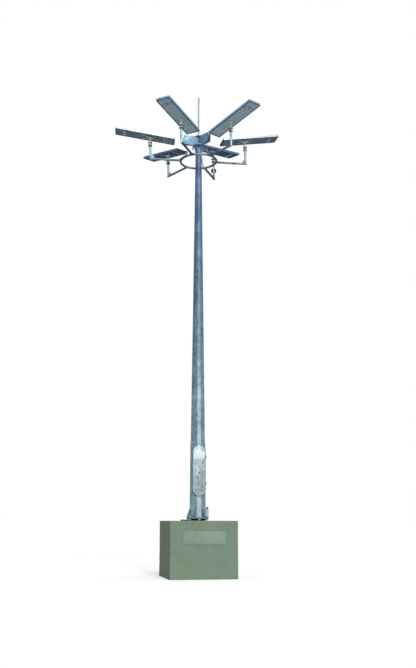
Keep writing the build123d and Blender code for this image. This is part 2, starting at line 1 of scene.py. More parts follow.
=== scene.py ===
"""Looks of a galvanised high mast tower: finishes, fine metalwork, ropes, studio and camera.

Metres, in the frame's own axes: +Z up, origin under the middle of the plinth, door facing -Y.
"""
import bpy
import bmesh
import logging
from collections.abc import Sequence
from dataclasses import dataclass
from enum import Enum
from functools import cached_property
from math import cos, pi, radians, sin, tan, tau
from mathutils import Matrix, Vector, noise

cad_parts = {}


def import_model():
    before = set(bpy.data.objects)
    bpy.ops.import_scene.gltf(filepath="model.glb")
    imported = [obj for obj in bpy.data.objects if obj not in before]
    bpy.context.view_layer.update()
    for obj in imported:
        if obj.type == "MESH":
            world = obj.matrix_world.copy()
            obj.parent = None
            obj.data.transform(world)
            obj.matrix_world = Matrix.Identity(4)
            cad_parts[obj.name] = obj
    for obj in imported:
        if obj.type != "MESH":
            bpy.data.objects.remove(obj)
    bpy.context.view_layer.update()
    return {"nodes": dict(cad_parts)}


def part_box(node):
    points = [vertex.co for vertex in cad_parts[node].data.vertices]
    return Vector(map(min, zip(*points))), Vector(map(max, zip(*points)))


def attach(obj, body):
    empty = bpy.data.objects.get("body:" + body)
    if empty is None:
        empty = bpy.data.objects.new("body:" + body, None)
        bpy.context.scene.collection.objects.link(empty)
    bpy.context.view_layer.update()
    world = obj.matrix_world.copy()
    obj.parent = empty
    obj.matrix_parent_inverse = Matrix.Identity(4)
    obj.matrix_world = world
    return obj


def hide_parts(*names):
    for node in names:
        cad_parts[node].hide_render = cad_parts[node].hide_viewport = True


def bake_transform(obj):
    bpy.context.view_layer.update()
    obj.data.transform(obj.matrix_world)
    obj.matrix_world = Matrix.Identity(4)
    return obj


LOG = logging.getLogger("tower")
SEED = 1
BOTH = (-1, 1)
CORNERS = tuple((x, y) for x in BOTH for y in BOTH)
Colour = tuple[int, int, int]
Point2 = tuple[float, float]
Profile = tuple[Point2, ...]
Socket = bpy.types.NodeSocket


def screen(colour: Colour) -> tuple[float, ...]:
    """Turn an 8-bit screen colour into the linear colour with full alpha that a shader takes."""
    return (*(((c / 255 + 0.055) / 1.055) ** 2.4 if c > 10 else c / 255 / 12.92 for c in colour), 1.0)


def mm(*points: Point2) -> Profile:
    """Points given in millimetres."""
    return tuple((x / 1000, y / 1000) for x, y in points)


class Body(Enum):
    """The tower's moving bodies."""

    MAST = "mast"
    CARRIAGE = "carriage"
    DOOR = "door_leaf"


class Underside(Enum):
    """Painted light: how much daylight a lamp's underside catches, as its finish's name."""

    LIT = "underside_lit"
    DIM = "underside_dim"
    HALF_LIT = "underside_half_lit"
    DARK = "underside_dark"


# ------------------------------------------------------------------ node graphs
class Graph:
    """The node tree of a material or a world, built with short calls."""

    def __init__(self, owner: bpy.types.ID, shader: str = "Principled BSDF") -> None:
        """Open the tree.

        Args:
            owner: the material or world.
            shader: name of its shader node.
        """
        owner.use_nodes = True
        self.owner = owner
        self.nodes = owner.node_tree.nodes
        self.links = owner.node_tree.links
        self.shader = self.nodes[shader]

    @cached_property
    def place(self) -> Socket:
        """Object coordinates, in metres."""
        return self.nodes.new("ShaderNodeTexCoord").outputs["Object"]

    def add(self, kind: str, result: int | str, inputs: dict, **settings: object) -> Socket:
        """Add a node.

        Args:
            kind: the node's type without its ShaderNode prefix.
            result: the output wanted, by name or index.
            inputs: values or sockets for its inputs, by name or index.
            **settings: the node's own settings.

        Returns:
            The output socket.
        """
        node = self.nodes.new("ShaderNode" + kind)
        for key, value in settings.items():
            setattr(node, key, value)
        for key, value in inputs.items():
            if isinstance(value, bpy.types.NodeSocket):
                self.links.new(value, node.inputs[key])
            else:
                node.inputs[key].default_value = value
        return node.outputs[result]

    def along(self, axis: str) -> Socket:
        """Object coordinate along X, Y or Z."""
        return self.add("SeparateXYZ", axis, {"Vector": self.place})

    def spot(self, stretch: Sequence[float]) -> Socket:
        """Object coordinates scaled by a factor along each axis."""
        return self.add("Mapping", "Vector", {"Vector": self.place, "Scale": tuple(stretch)})

    def noise(self, scale: float, detail: float = 3.0, rough: float = 0.55,
              stretch: Sequence[float] = (1, 1, 1), bend: float = 0.0) -> Socket:
        """Cloudy noise over the object, with so many features to a metre along each stretched axis."""
        return self.add("TexNoise", "Fac", {"Vector": self.spot(stretch), "Scale": scale, "Detail": detail,
                                            "Roughness": rough, "Distortion": bend})

    def flakes(self, scale: float, stretch: Sequence[float] = (1, 1, 1)) -> Socket:
        """A random grey for each crystal of a broken-up surface."""
        tint_and_shade = self.add("TexVoronoi", "Color", {"Vector": self.spot(stretch), "Scale": scale})
        return self.add("SeparateColor", "Red", {"Color": tint_and_shade})

    def sums(self, operation: str, first: object, second: object = 0.0) -> Socket:
        """One arithmetic step."""
        return self.add("Math", 0, {0: first, 1: second}, operation=operation)

    def total(self, start: object, *shares: tuple[Socket, object]) -> Socket:
        """Add up values, each times its weight.

        Args:
            start: what they are added to.
            *shares: values with their weights.

        Returns:
            The sum.
        """
        for value, weight in shares:
            start = self.add("Math", 0, {0: value, 1: weight, 2: start}, operation="MULTIPLY_ADD")
        return start

    def spread(self, value: Socket, low: float, high: float, to_low: float = 0.0,
               to_high: float = 1.0) -> Socket:
        """Map a value's range to another, held at its ends."""
        return self.add("MapRange", "Result", {"Value": value, "From Min": low, "From Max": high,
                                               "To Min": to_low, "To Max": to_high})

    def ramp(self, value: Socket, *stops: tuple[float, Colour]) -> Socket:
        """Colour by value through a few stops.

        Args:
            value: the value.
            *stops: places from 0 to 1 with their colours.

        Returns:
            The colour.
        """
        out = self.add("ValToRGB", "Color", {"Fac": value})
        band = out.node.color_ramp
        while len(band.elements) < len(stops):
            band.elements.new(0.5)
        for element, (at, colour) in zip(band.elements, stops):
            element.position = at
            element.color = screen(colour)
        return out

    def mix(self, share: object, first: Socket, second: Socket | Colour) -> Socket:
        """Blend a second colour over the first."""
        second = screen(second) if isinstance(second, tuple) else second
        return self.add("Mix", 2, {0: share, 6: first, 7: second}, data_type="RGBA")

    def dress(self, colour: Socket, rough: Socket, metal: float, height: Socket | None = None,
              depth: float = 0.0005, **constants: object) -> bpy.types.Material:
        """Wire the shader.

        Args:
            colour: base colour.
            rough: roughness.
            metal: how metallic the surface is.
            height: bump height, or None.
            depth: the bump's depth in metres.
            **constants: further shader inputs, with underscores for spaces.

        Returns:
            The finished material.
        """
        self.links.new(colour, self.shader.inputs["Base Color"])
        self.links.new(rough, self.shader.inputs["Roughness"])
        self.shader.inputs["Metallic"].default_value = metal
        for key, value in constants.items():
            self.shader.inputs[key.replace("_", " ")].default_value = value
        if height is not None:
            bump = self.add("Bump", "Normal", {"Height": height, "Distance": depth, "Strength": 1.0})
            self.links.new(bump, self.shader.inputs["Normal"])
        return self.owner


# ------------------------------------------------------------------ finishes
@dataclass(frozen=True)
class Galvanised:
    """Hot-dip zinc: crystals, cloudy patches and vertical run marks."""

    name: str
    bright: Colour
    middle: Colour
    dark: Colour
    crystals: float = 55.0
    streaks: float = 0.5
    contrast: float = 0.16
    bloom: float = 0.15
    dirt: float = 0.0
    rough: float = 0.42
    metal: float = 0.35
    grain: float = 0.0005

    def material(self) -> bpy.types.Material:
        """Build the material.

        Returns:
            The finished material.
        """
        g = Graph(bpy.data.materials.new(self.name))
        flakes = g.flakes(self.crystals, (1, 1, 0.6))
        tone = g.total(0.21 - 0.75 * self.contrast,
                       (flakes, self.contrast),
                       (g.flakes(self.crystals * 0.35, (1, 1, 0.5)), self.contrast * 0.5),
                       (g.noise(3.5, 4, 0.6), 0.58 - 0.3 * self.streaks),
                       (g.noise(9.0, 4, 0.6, (1.6, 1.6, 0.10), 0.4), 0.3 * self.streaks))
        tone = self.vary_tone(g, tone)
        colour = g.ramp(tone, (0.30, self.dark), (0.50, self.middle), (0.72, self.bright))
        white = g.spread(g.noise(28.0, 5, 0.7, (1, 1, 0.7)), 0.62, 0.74, 0.0, self.bloom)
        colour = self.tint_and_shade(g, g.mix(white, colour, (206, 216, 218)))
        specks = g.spread(g.noise(42.0, 3, 0.6, (1, 1, 0.6)), 0.66, 0.72, 0.0, self.dirt)
        colour = g.mix(specks, colour, (112, 104, 86))
        rough = g.spread(tone, 0.3, 0.7, self.rough + 0.12, self.rough - 0.08)
        height = g.total(g.noise(140.0, 3, 0.6), (flakes, 0.25))
        return g.dress(colour, rough, self.metal, height, self.grain, Specular_Tint=screen((176, 205, 232)))

    def vary_tone(self, g: Graph, tone: Socket) -> Socket:
        """Leave the tone as it is; the mast's zinc changes it to paint highlight and shade on its faces."""
        return tone

    def tint_and_shade(self, g: Graph, colour: Socket) -> Socket:
        """Leave the colour as it is; the mast's zinc turns it blue towards the top and the ring's paints
        shade on its ends.
        """
        return colour


@dataclass(frozen=True)
class MastZinc(Galvanised):
    """Zinc of the mast: painted highlight and shade by facet, duller and bluer with height."""

    # painted facet highlight and shade, and the heights over which they change
    painted_facet_light: float = 0.16
    facet_highlight_heights: Point2 = (2.6, 7.5)
    facet_shade_heights: Point2 = (3.0, 8.5)
    fade_heights: Point2 = (2.9, 8.0)
    fade: float = 0.150
    blue_heights: Point2 = (6.0, 11.0)
    blueness: float = 0.42

    def vary_tone(self, g: Graph, tone: Socket) -> Socket:
        """Paint a highlight on every fourth face and shade on its next but one, and darken all with height.

        Args:
            g: the graph to add to.
            tone: the even tone.

        Returns:
            The weathered tone.
        """
        height, faces = g.along("Z"), self.facets(g)
        facet_highlight = g.spread(height, *self.facet_highlight_heights, self.painted_facet_light, self.painted_facet_light * 0.20)
        facet_shade = g.spread(height, *self.facet_shade_heights, self.painted_facet_light * -0.30, self.painted_facet_light * 0.70)
        # painted highlight on the faces at headings 0, 120 and 240 degrees, painted shade on those at 60,
        # 180 and 300
        tone = g.total(tone, (g.sums("MAXIMUM", faces), facet_highlight), (g.sums("MINIMUM", faces), facet_shade))
        return g.sums("SUBTRACT", tone, g.spread(height, *self.fade_heights, 0.0, self.fade))

    def tint_and_shade(self, g: Graph, colour: Socket) -> Socket:
        """Turn the colour blue towards the top."""
        return g.mix(g.spread(g.along("Z"), *self.blue_heights, 0.0, self.blueness), colour, (88, 110, 148))

    @staticmethod
    def facets(g: Graph) -> Socket:
        """Tell a twelve-sided tube's faces apart by the cosine of three times their heading, as the mask of
        the painted facet highlight and shade.

        Args:
            g: the graph to add to.

        Returns:
            A value from -1 to 1 that is even over each face.
        """
        face = g.add("TexCoord", "Normal", {})
        front = g.sums("MULTIPLY", g.add("SeparateXYZ", "Y", {"Vector": face}), -1.0)
        squared = g.sums("POWER", front, 2.0)
        return g.sums("MULTIPLY", front, g.total(-3.0, (squared, 4.0)))


@dataclass(frozen=True)
class RingZinc(Galvanised):
    """Zinc of the ring, with painted shade where it turns away at the left and right."""

    end_shade_span: Point2 = (0.22, 0.44)
    end_shade: float = 0.85

    def tint_and_shade(self, g: Graph, colour: Socket) -> Socket:
        """Paint shade on the ends."""
        aside = g.sums("ABSOLUTE", g.along("X"))
        # painted shade: dark navy over both ends of the ring along X
        return g.mix(g.spread(aside, *self.end_shade_span, 0.0, self.end_shade), colour, (40, 56, 86))


@dataclass(frozen=True)
class PaintedConcrete:
    """Green masonry paint on concrete, clouded by damp and dust, with painted shade on the two side faces.
    """

    name: str
    base: Colour
    blue: Colour
    olive: Colour
    grime: float = 1.0
    side_shade_from: float = 0.826

    def material(self) -> bpy.types.Material:
        """Build the material.

        Returns:
            The finished material.
        """
        g = Graph(bpy.data.materials.new(self.name))
        clouds = g.noise(3.4, 6, 0.68, (1, 1, 0.8), 0.5)
        drips = g.noise(5.0, 4, 0.6, (1, 1, 0.35), 0.2)
        colour = g.ramp(clouds, (0.32, self.olive), (0.50, self.base), (0.68, self.blue))
        colour = g.mix(g.spread(drips, 0.52, 0.72, 0.0, 0.32 * self.grime), colour, (104, 112, 84))
        # painted shade: the two faces at the ends of X darker and olive
        aside = g.sums("ABSOLUTE", g.along("X"))
        side_shade = g.spread(aside, self.side_shade_from, self.side_shade_from + 0.005, 0.0, 0.62)
        colour = g.mix(side_shade, colour, (90, 88, 64))
        speck = g.spread(g.noise(230.0, 2, 0.6), 0.35, 0.75, 0.0, 0.26)
        colour = g.mix(speck, colour, (160, 178, 156))
        rough = g.spread(g.noise(14.0, 3), 0.3, 0.7, 0.66, 0.86)
        height = g.total(g.noise(18.0, 4, 0.6), (g.noise(260.0, 3, 0.6), 0.35))
        return g.dress(colour, rough, 0.0, height, 0.0018)


@dataclass(frozen=True)
class Cast:
    """Powder-coated or plain cast metal with a fine even grain."""

    name: str
    base: Colour
    shade: Colour
    rough: float = 0.5
    metal: float = 0.3
    grain: float = 90.0
    depth: float = 0.0002

    def material(self) -> bpy.types.Material:
        """Build the material.

        Returns:
            The finished material.
        """
        g = Graph(bpy.data.materials.new(self.name))
        fine = g.noise(self.grain, 3, 0.6)
        colour = g.ramp(g.noise(12.0, 4, 0.6), (0.35, self.shade), (0.62, self.base))
        colour = g.mix(g.spread(fine, 0.3, 0.7, 0.0, 0.25), colour, self.shade)
        rough = g.spread(fine, 0.3, 0.7, self.rough - 0.06, self.rough + 0.08)
        return g.dress(colour, rough, self.metal, fine, self.depth)


@dataclass(frozen=True)
class Glass:
    """Toughened cover glass over dark solar cells or their backing."""

    name: str
    base: Colour
    shade: Colour
    coat: float = 1.0

    def material(self) -> bpy.types.Material:
        """Build the material.

        Returns:
            The finished material.
        """
        g = Graph(bpy.data.materials.new(self.name))
        colour = g.ramp(g.noise(5.0, 3), (0.35, self.shade), (0.65, self.base))
        dust = g.noise(34.0, 5, 0.7)
        colour = g.mix(g.spread(dust, 0.5, 0.8, 0.0, 0.08), colour, (168, 172, 168))
        rough = g.spread(dust, 0.4, 0.8, 0.12, 0.4)
        return g.dress(colour, rough, 0.0, Coat_Weight=self.coat, Coat_Roughness=0.06)


@dataclass(frozen=True)
class RustedZinc:
    """Zinc with a rust-brown patch where the coating has worn through."""

    name: str
    zinc: Colour
    shade: Colour
    rust: Colour
    spot: tuple[float, float, float]
    reach: float

    def material(self) -> bpy.types.Material:
        """Build the material.

        Returns:
            The finished material.
        """
        g = Graph(bpy.data.materials.new(self.name))
        colour = g.ramp(g.noise(16.0, 4, 0.6), (0.35, self.shade), (0.65, self.zinc))
        away = g.add("VectorMath", "Value", {0: g.place, 1: self.spot}, operation="DISTANCE")
        ragged = g.total(away, (g.noise(26.0, 5, 0.7), 0.35 * self.reach))
        patch = g.spread(ragged, self.reach * 0.8, self.reach * 1.25, 1.0, 0.0)
        brown = g.ramp(g.noise(70.0, 4, 0.65), (0.35, self.rust), (0.7, (112, 82, 66)))
        rough = g.spread(patch, 0.0, 1.0, 0.42, 0.85)
        return g.dress(g.mix(patch, colour, brown), rough, 0.2, g.noise(160.0, 3, 0.6), 0.0004)


PLATE = {"crystals": 60.0, "streaks": 0.2, "contrast": 0.10, "bloom": 0.05}
TUBE = {"crystals": 70.0, "streaks": 0.1, "contrast": 0.12, "rough": 0.36}
ROD = {"crystals": 90.0, "streaks": 0.1, "contrast": 0.08, "bloom": 0.0}
FINISHES = (
    MastZinc("galvanised_mast", (190, 207, 214), (118, 146, 158), (66, 94, 120),
             contrast=0.13, bloom=0.06, dirt=0.45),
    Galvanised("galvanised_plate", (138, 168, 182), (100, 132, 150), (74, 104, 124), **PLATE),
    # lit and shaded copies of the plate zinc: painted light
    Galvanised("plate_lit", (160, 196, 216), (120, 156, 178), (90, 126, 148), **PLATE),
    Galvanised("plate_shaded", (134, 172, 198), (98, 134, 160), (72, 106, 132), **PLATE),
    Galvanised("head_zinc", (182, 196, 216), (142, 160, 186), (98, 118, 146), **PLATE),
    RingZinc("ring_zinc", (184, 193, 208), (120, 133, 158), (70, 84, 112),
             bloom=0.1, metal=0.5, **TUBE),
    Galvanised("tube_zinc", (150, 164, 188), (84, 102, 130), (44, 60, 88),
               bloom=0.1, metal=0.6, **TUBE),
    # shaded copy of the tube zinc: painted shade
    Galvanised("tube_shaded", (92, 112, 138), (46, 62, 90), (26, 38, 62),
               bloom=0.05, metal=0.5, **(TUBE | {"rough": 0.42})),
    Galvanised("arm_zinc", (190, 212, 224), (142, 168, 186), (88, 116, 142),
               crystals=80.0, streaks=0.1, contrast=0.10, bloom=0.05, metal=0.5),
    Galvanised("rod_zinc", (158, 192, 214), (128, 166, 192), (98, 134, 162), **ROD),
    Galvanised("rod_tip", (196, 192, 206), (166, 166, 186), (134, 138, 162), **ROD),
    Galvanised("speckled_leaf", (206, 217, 223), (166, 183, 191), (124, 143, 153),
               crystals=85.0, streaks=0.0, contrast=0.30, bloom=0.3, rough=0.5),
    Galvanised("bright_zinc", (226, 234, 232), (200, 210, 210), (160, 170, 174),
               crystals=60.0, streaks=0.0, contrast=0.10, bloom=0.1, rough=0.36),
    RustedZinc("rusted_arm", (172, 190, 206), (100, 122, 144), (66, 48, 46),
               (1.0, 0.0, 10.945), 0.10),
    Cast("weld", (150, 166, 174), (96, 114, 124), 0.5, 0.5, 200.0),
    Cast("leaf_edge", (226, 232, 236), (190, 202, 210), 0.45, 0.3),
    Cast("rubber", (40, 42, 46), (24, 26, 30), 0.8, 0.0),
    Cast("stud_steel", (206, 216, 222), (150, 164, 174), 0.4, 0.5),
    Cast("dark_bolts", (82, 92, 102), (48, 56, 66), 0.5, 0.4),
    Cast("dark_fixing", (58, 64, 70), (30, 34, 40), 0.5, 0.5),
    Cast("brass", (150, 110, 78), (96, 70, 54), 0.5, 0.4),
    Cast("weathered_strip", (72, 58, 56), (44, 36, 38), 0.7, 0.1),
    # near-black for the foot sleeve: a real part, coloured to paint the shade in the gap under the flange
    Cast("shadow_filler", (44, 40, 38), (28, 26, 26), 0.85, 0.0),
    Cast("label_plate", (240, 247, 252), (230, 240, 248), 0.45, 0.0),
    Cast("cast_sheave", (120, 132, 140), (70, 80, 90), 0.5, 0.5),
    Cast("wire_rope", (150, 158, 162), (88, 96, 100), 0.45, 0.6, 400.0),
    Cast("lamp_casting", (214, 226, 220), (180, 198, 194), 0.5, 0.1),
    Cast("fitter_plate", (176, 192, 190), (156, 172, 174), 0.6, 0.0),
    # lit and shaded copies of the lamp frame: painted light
    Cast("lamp_frame", (136, 184, 214), (100, 152, 190), 0.42, 0.2),
    Cast("frame_lit", (222, 234, 242), (188, 208, 224), 0.42, 0.2),
    Cast("frame_shaded", (78, 128, 172), (46, 90, 138), 0.5, 0.1),
    # dark navy for the strip and cap on each lamp: painted shade
    Cast("frame_shadow", (34, 54, 90), (20, 34, 64), 0.6, 0.0),
    # lit and shaded copies of the lamp underside: painted light
    Cast("underside_lit", (164, 184, 196), (150, 171, 184), 0.7, 0.0),
    Cast("underside_dim", (104, 124, 136), (88, 108, 120), 0.6, 0.0),
    Cast("underside_half_lit", (84, 110, 128), (66, 92, 112), 0.6, 0.0),
    Cast("underside_dark", (20, 70, 98), (12, 50, 76), 0.75, 0.0),
    Cast("sensor_strip", (124, 138, 168), (106, 120, 152), 0.5, 0.0),
    Cast("sensor_lens", (184, 194, 214), (162, 174, 198), 0.35, 0.0),
    Cast("yellow_plug", (240, 224, 96), (222, 200, 76), 0.45, 0.0),
    Cast("lug_white", (206, 212, 230), (170, 180, 206), 0.5, 0.1),
    Glass("solar_cell", (22, 38, 84), (14, 26, 58), 0.6),
    Glass("solar_backing", (168, 176, 186), (140, 150, 162)),
    PaintedConcrete("painted_concrete", (113, 135, 115), (115, 140, 125), (113, 130, 102)),
    PaintedConcrete("plaque_paint", (131, 155, 134), (136, 160, 146), (130, 148, 120), 0.5),
)
NODE_FINISHES = {
    # the foot sleeve is a real part, painted near-black for the shade in the gap under the flange
    "foot_sleeve": "shadow_filler", "earth_lug": "lug_white", "earth_strip": "weathered_strip",
    "mast_lower": "galvanised_mast", "mast_upper": "galvanised_mast", "head_plate": "head_zinc",
    **dict.fromkeys(("base_flange", "door_frame", "hinge_brackets", "hinge_straps", "rope_lugs"),
                    "galvanised_plate"),
}


class Paints:
    """Every finish on the tower, made once."""

    def __init__(self) -> None:
        """Make the materials."""
        self.all = {finish.name: finish.material() for finish in FINISHES}

    def coat(self, piece: bpy.types.Object, name: str) -> None:
        """Give an object one finish over the whole of it."""
        piece.data.materials.clear()
        piece.data.materials.append(self.all[name])


# ------------------------------------------------------------------ frames and outlines
UP = Vector((0, 0, 1))


def heading(degrees: float) -> Vector:
    """Unit vector in plan for a heading in degrees; 0 is -Y (the door side) and 90 is -X."""
    turn = radians(degrees)
    return Vector((-sin(turn), -cos(turn), 0.0))


def rise(z: float) -> Vector:
    """The point of the mast's axis at a height."""
    return Vector((0.0, 0.0, z))


def shift(x: float = 0.0, y: float = 0.0, z: float = 0.0) -> Matrix:
    """A plain move."""
    return Matrix.Translation((x, y, z))


def spin(turn: float, axis: str | Vector) -> Matrix:
    """A plain turn about an axis, in radians."""
    return Matrix.Rotation(turn, 4, axis)


FLIP = spin(pi, "X")


def shares(count: int) -> list[float]:
    """The steps of an even run, as shares of the whole, without its start."""
    return [k / count for k in range(1, count + 1)]


def place(origin: Sequence[float], x_axis: Sequence[float], z_axis: Sequence[float]) -> Matrix:
    """Frame of reference from an origin, an x axis and a z axis.

    Args:
        origin: where it stands.
        x_axis: its x direction.
        z_axis: its z direction, square to x.

    Returns:
        The 4 by 4 matrix.
    """
    x, z = Vector(x_axis).normalized(), Vector(z_axis).normalized()
    y = z.cross(x)
    turn = Matrix((x, y, z)).transposed().to_4x4()
    return Matrix.Translation(Vector(origin)) @ turn


def stand(degrees: float, reach: float, z: float) -> Matrix:
    """Upright frame at a heading, a reach and a height, x pointing outward."""
    return place(heading(degrees) * reach + rise(z), heading(degrees), UP)


def lay(at: Matrix, outline: Sequence[Point2], z: float) -> list[Vector]:
    """Points of an outline at a height in a frame."""
    return [at @ Vector((x, y, z)) for x, y in outline]


def box_outline(low: Point2, high: Point2) -> Profile:
    """Rectangle between two opposite corners, anticlockwise."""
    return (low, (high[0], low[1]), high, (low[0], high[1]))


def shrink(outline: Sequence[Point2], inset: float) -> list[Point2]:
    """Draw a convex outline in by a margin.

    Args:
        outline: corners, anticlockwise.
        inset: the margin.

    Returns:
        The smaller outline.
    """
    corners = [Vector(p) for p in outline]
    smaller = []
    for k, corner in enumerate(corners):
        before = (corner - corners[k - 1]).normalized()
        after = (corners[(k + 1) % len(corners)] - corner).normalized()
        left, right = Vector((-before.y, before.x)), Vector((-after.y, after.x))
        smaller.append(tuple(corner + (left + right) * (inset / max(0.2, 1 + left.dot(right)))))
    return smaller


def rounded(width: float, height: float, corner: float, steps: int = 5) -> list[Point2]:
    """Rounded rectangle about the origin.

    Args:
        width: size along x.
        height: size along y.
        corner: corner radius.
        steps: points on each corner.

    Returns:
        The outline, anticlockwise.
    """
    points = []
    for quarter, (sx, sy) in enumerate(((1, -1), (1, 1), (-1, 1), (-1, -1))):
        for k in range(steps):
            turn = (quarter - 1 + k / (steps - 1)) * pi / 2
            points.append((sx * (width / 2 - corner) + corner * cos(turn),
                           sy * (height / 2 - corner) + corner * sin(turn)))
    return points


def ring_outline(radius: float, sides: int, start: float = 0.0) -> list[Point2]:
    """Regular outline of some radius and number of sides."""
    turns = (start + tau * k / sides for k in range(sides))
    return [(radius * cos(turn), radius * sin(turn)) for turn in turns]


def slot_outline(width: float, height: float, steps: int = 24) -> list[Point2]:
    """Upright slot: a rectangle with a half circle at the top and bottom.

    Args:
        width: size along x.
        height: size along y.
        steps: spans on each half circle.

    Returns:
        The outline, anticlockwise.
    """
    r, straight = width / 2, height / 2 - width / 2
    upper = [(r * cos(pi * k / steps), straight + r * sin(pi * k / steps)) for k in range(steps + 1)]
    return upper + [(-x, -y) for x, y in upper]


# ------------------------------------------------------------------ shapes
class Shape:
    """A mesh gathered from simple forms and finished as one object."""

    paints: Paints
    bead_step = 0.0045
    bead_ripple = 0.16
    bead_pitch = 0.011
    strands = 6
    strand_share = 0.35
    core_share = 0.36
    lay_share = 0.64

    def __init__(self, name: str) -> None:
        """Start an empty shape that takes a name."""
        self.name = name
        self.mesh = bmesh.new()

    def loft(self, rings: Sequence[Sequence[Vector]], loop: bool = False) -> None:
        """Skin a run of rings that have the same number of points, and close its ends.

        Args:
            rings: the stations, in order.
            loop: join the last station to the first instead of closing the ends.
        """
        rows = [[self.mesh.verts.new(p) for p in ring] for ring in rings]
        count = len(rows[0])
        spans = zip(rows, rows[1:] + rows[:1]) if loop else zip(rows, rows[1:])
        for low, high in spans:
            for k in range(count):
                j = (k + 1) % count
                self.mesh.faces.new((low[k], low[j], high[j], high[k]))
        if not loop:
            self.mesh.faces.new(list(reversed(rows[0])))
            self.mesh.faces.new(rows[-1])

    def lathe(self, at: Matrix, profile: Sequence[Point2], sides: int = 32, loop: bool = False) -> None:
        """Turn a profile of radii and heights about a frame's z axis; a hollow ring's is a loop."""
        self.loft([lay(at, ring_outline(r, sides), z) for r, z in profile], loop)

    def plate(self, at: Matrix, outline: Sequence[Point2], low: float, high: float,
              bevel: float = 0.001) -> None:
        """Extrude an outline along a frame's z with its edges eased.

        Args:
            at: the frame.
            outline: corners in the frame's xy, anticlockwise.
            low: lower height.
            high: upper height.
            bevel: width of the eased edge.
        """
        small, middle, ease = shrink(outline, bevel), shrink(outline, bevel * 0.3), bevel * 0.3
        stations = ((small, low), (middle, low + ease), (outline, low + bevel),
                    (outline, high - bevel), (middle, high - ease), (small, high))
        self.loft([lay(at, line, z) for line, z in stations])

    def block(self, at: Matrix, size: Sequence[float], bevel: float = 0.001) -> None:
        """A box centred on a frame in xy that stands on its z = 0, edges eased."""
        x, y, z = size[0] / 2, size[1] / 2, size[2]
        self.plate(at, box_outline((-x, -y), (x, y)), 0.0, z, bevel)

    def tube(self, points: Sequence[Vector], radius: float, sides: int = 16, loop: bool = False,
             ripple: float = 0.0, pitch: float = 0.004) -> None:
        """Run a round section along a line, with ripples for a weld bead.

        Args:
            points: the line.
            radius: the section's radius.
            sides: points round the section.
            loop: the line is closed.
            ripple: share by which the radius swells and shrinks.
            pitch: length of one ripple.
        """
        count = len(points)
        rings, travelled, side = [], 0.0, None
        for k, point in enumerate(points):
            ahead = points[(k + 1) % count] if loop or k < count - 1 else point
            behind = points[k - 1] if loop or k else point
            along = (ahead - behind).normalized()
            if side is None:
                side = along.orthogonal()
            side = (side - along * side.dot(along)).normalized()
            other = along.cross(side)
            swell = radius * (1 + ripple * sin(tau * travelled / pitch))
            rings.append([point + (side * x + other * y) * swell for x, y in ring_outline(1.0, sides)])
            travelled += (ahead - point).length
        self.loft(rings, loop)

    def bead(self, points: Sequence[Vector], radius: float = 0.004, loop: bool = False) -> None:
        """A weld bead along a line: resampled, rippled and slightly uneven.

        Args:
            points: the line.
            radius: the bead's radius.
            loop: the line is closed.
        """
        line = list(points) + ([points[0]] if loop else [])
        dense = []
        for a, b in zip(line, line[1:]):
            pieces = max(1, round((b - a).length / self.bead_step))
            for k in range(pieces):
                spot = a.lerp(b, k / pieces)
                jitter = noise.noise_vector(spot * 60.0) * radius * 0.18
                dense.append(spot + jitter)
        if not loop:
            dense.append(line[-1])
        self.tube(dense, radius, 6, loop, self.bead_ripple, self.bead_pitch)

    def hexagon(self, at: Matrix, across: float, height: float) -> None:
        """A hexagon head or nut with its corners turned off.

        Args:
            at: frame at its foot, z along it.
            across: size across flats.
            height: how tall it is.
        """
        out, chamfer = across / 2 / cos(pi / 6), across * 0.04
        shoulder = height - chamfer * 1.4
        self.lathe(at, ((out * 0.90, 0), (out, chamfer), (out, shoulder), (out * 0.84, height)), 6)

    def bolt(self, at: Matrix, across: float, tail: float = 0.0) -> None:
        """Washer, hexagon and, if asked, a threaded tail past the nut.

        Args:
            at: frame on the surface, z outward.
            across: the hexagon's size across flats.
            tail: length of thread showing past the nut.
        """
        edge, rim, washer, height = across * 0.86, across * 0.90, across * 0.13, across * 0.62
        self.lathe(at, ((edge, 0), (rim, across * 0.04), (rim, across * 0.10), (edge, washer)), 20)
        self.hexagon(at @ shift(z=washer), across, height)
        if tail:
            self.thread(at @ shift(z=washer + height), across * 0.32, tail)

    def thread(self, at: Matrix, radius: float, length: float, pitch: float = 0.0035,
               sides: int = 16) -> None:
        """A threaded end: a true helix of ridges closed by a turned-down tip.

        Args:
            at: frame at its foot, z along it.
            radius: outer radius.
            length: how far it runs.
            pitch: distance from ridge to ridge.
            sides: points round the axis.
        """
        turns = max(1, int(length / pitch))
        rings = []
        for level in range(turns * 2 + 1):
            ring = []
            for k, (x, y) in enumerate(ring_outline(radius, sides)):
                z = (level / 2 + k / sides) * pitch
                swell = 0.88 + 0.12 * abs(((z / pitch - k / sides) % 1.0) * 2 - 1)
                ring.append(at @ Vector((x * swell, y * swell, min(z, length))))
            rings.append(ring)
        rings.append(lay(at, ring_outline(radius * 0.72, sides), length + radius * 0.12))
        self.loft(rings)

    def rope(self, points: Sequence[Vector], radius: float, turn_length: float) -> None:
        """A wire rope: strands laid round a core along a line of evenly spaced points.

        Args:
            points: the rope's centre line.
            radius: the rope's radius.
            turn_length: length in which a strand goes round once.
        """
        travelled, side = 0.0, None
        frames = []
        for k, point in enumerate(points):
            ahead = points[min(k + 1, len(points) - 1)]
            along = (ahead - points[max(k - 1, 0)]).normalized()
            side = along.orthogonal() if side is None else side
            side = (side - along * side.dot(along)).normalized()
            frames.append((point, side, along.cross(side), travelled))
            travelled += (ahead - point).length
        self.tube(points, radius * self.core_share, 6)
        for strand in range(self.strands):
            line = []
            for point, first, second, run in frames:
                turn = tau * (run / turn_length + strand / self.strands)
                line.append(point + (first * cos(turn) + second * sin(turn)) * radius * self.lay_share)
            self.tube(line, radius * self.strand_share, 6)

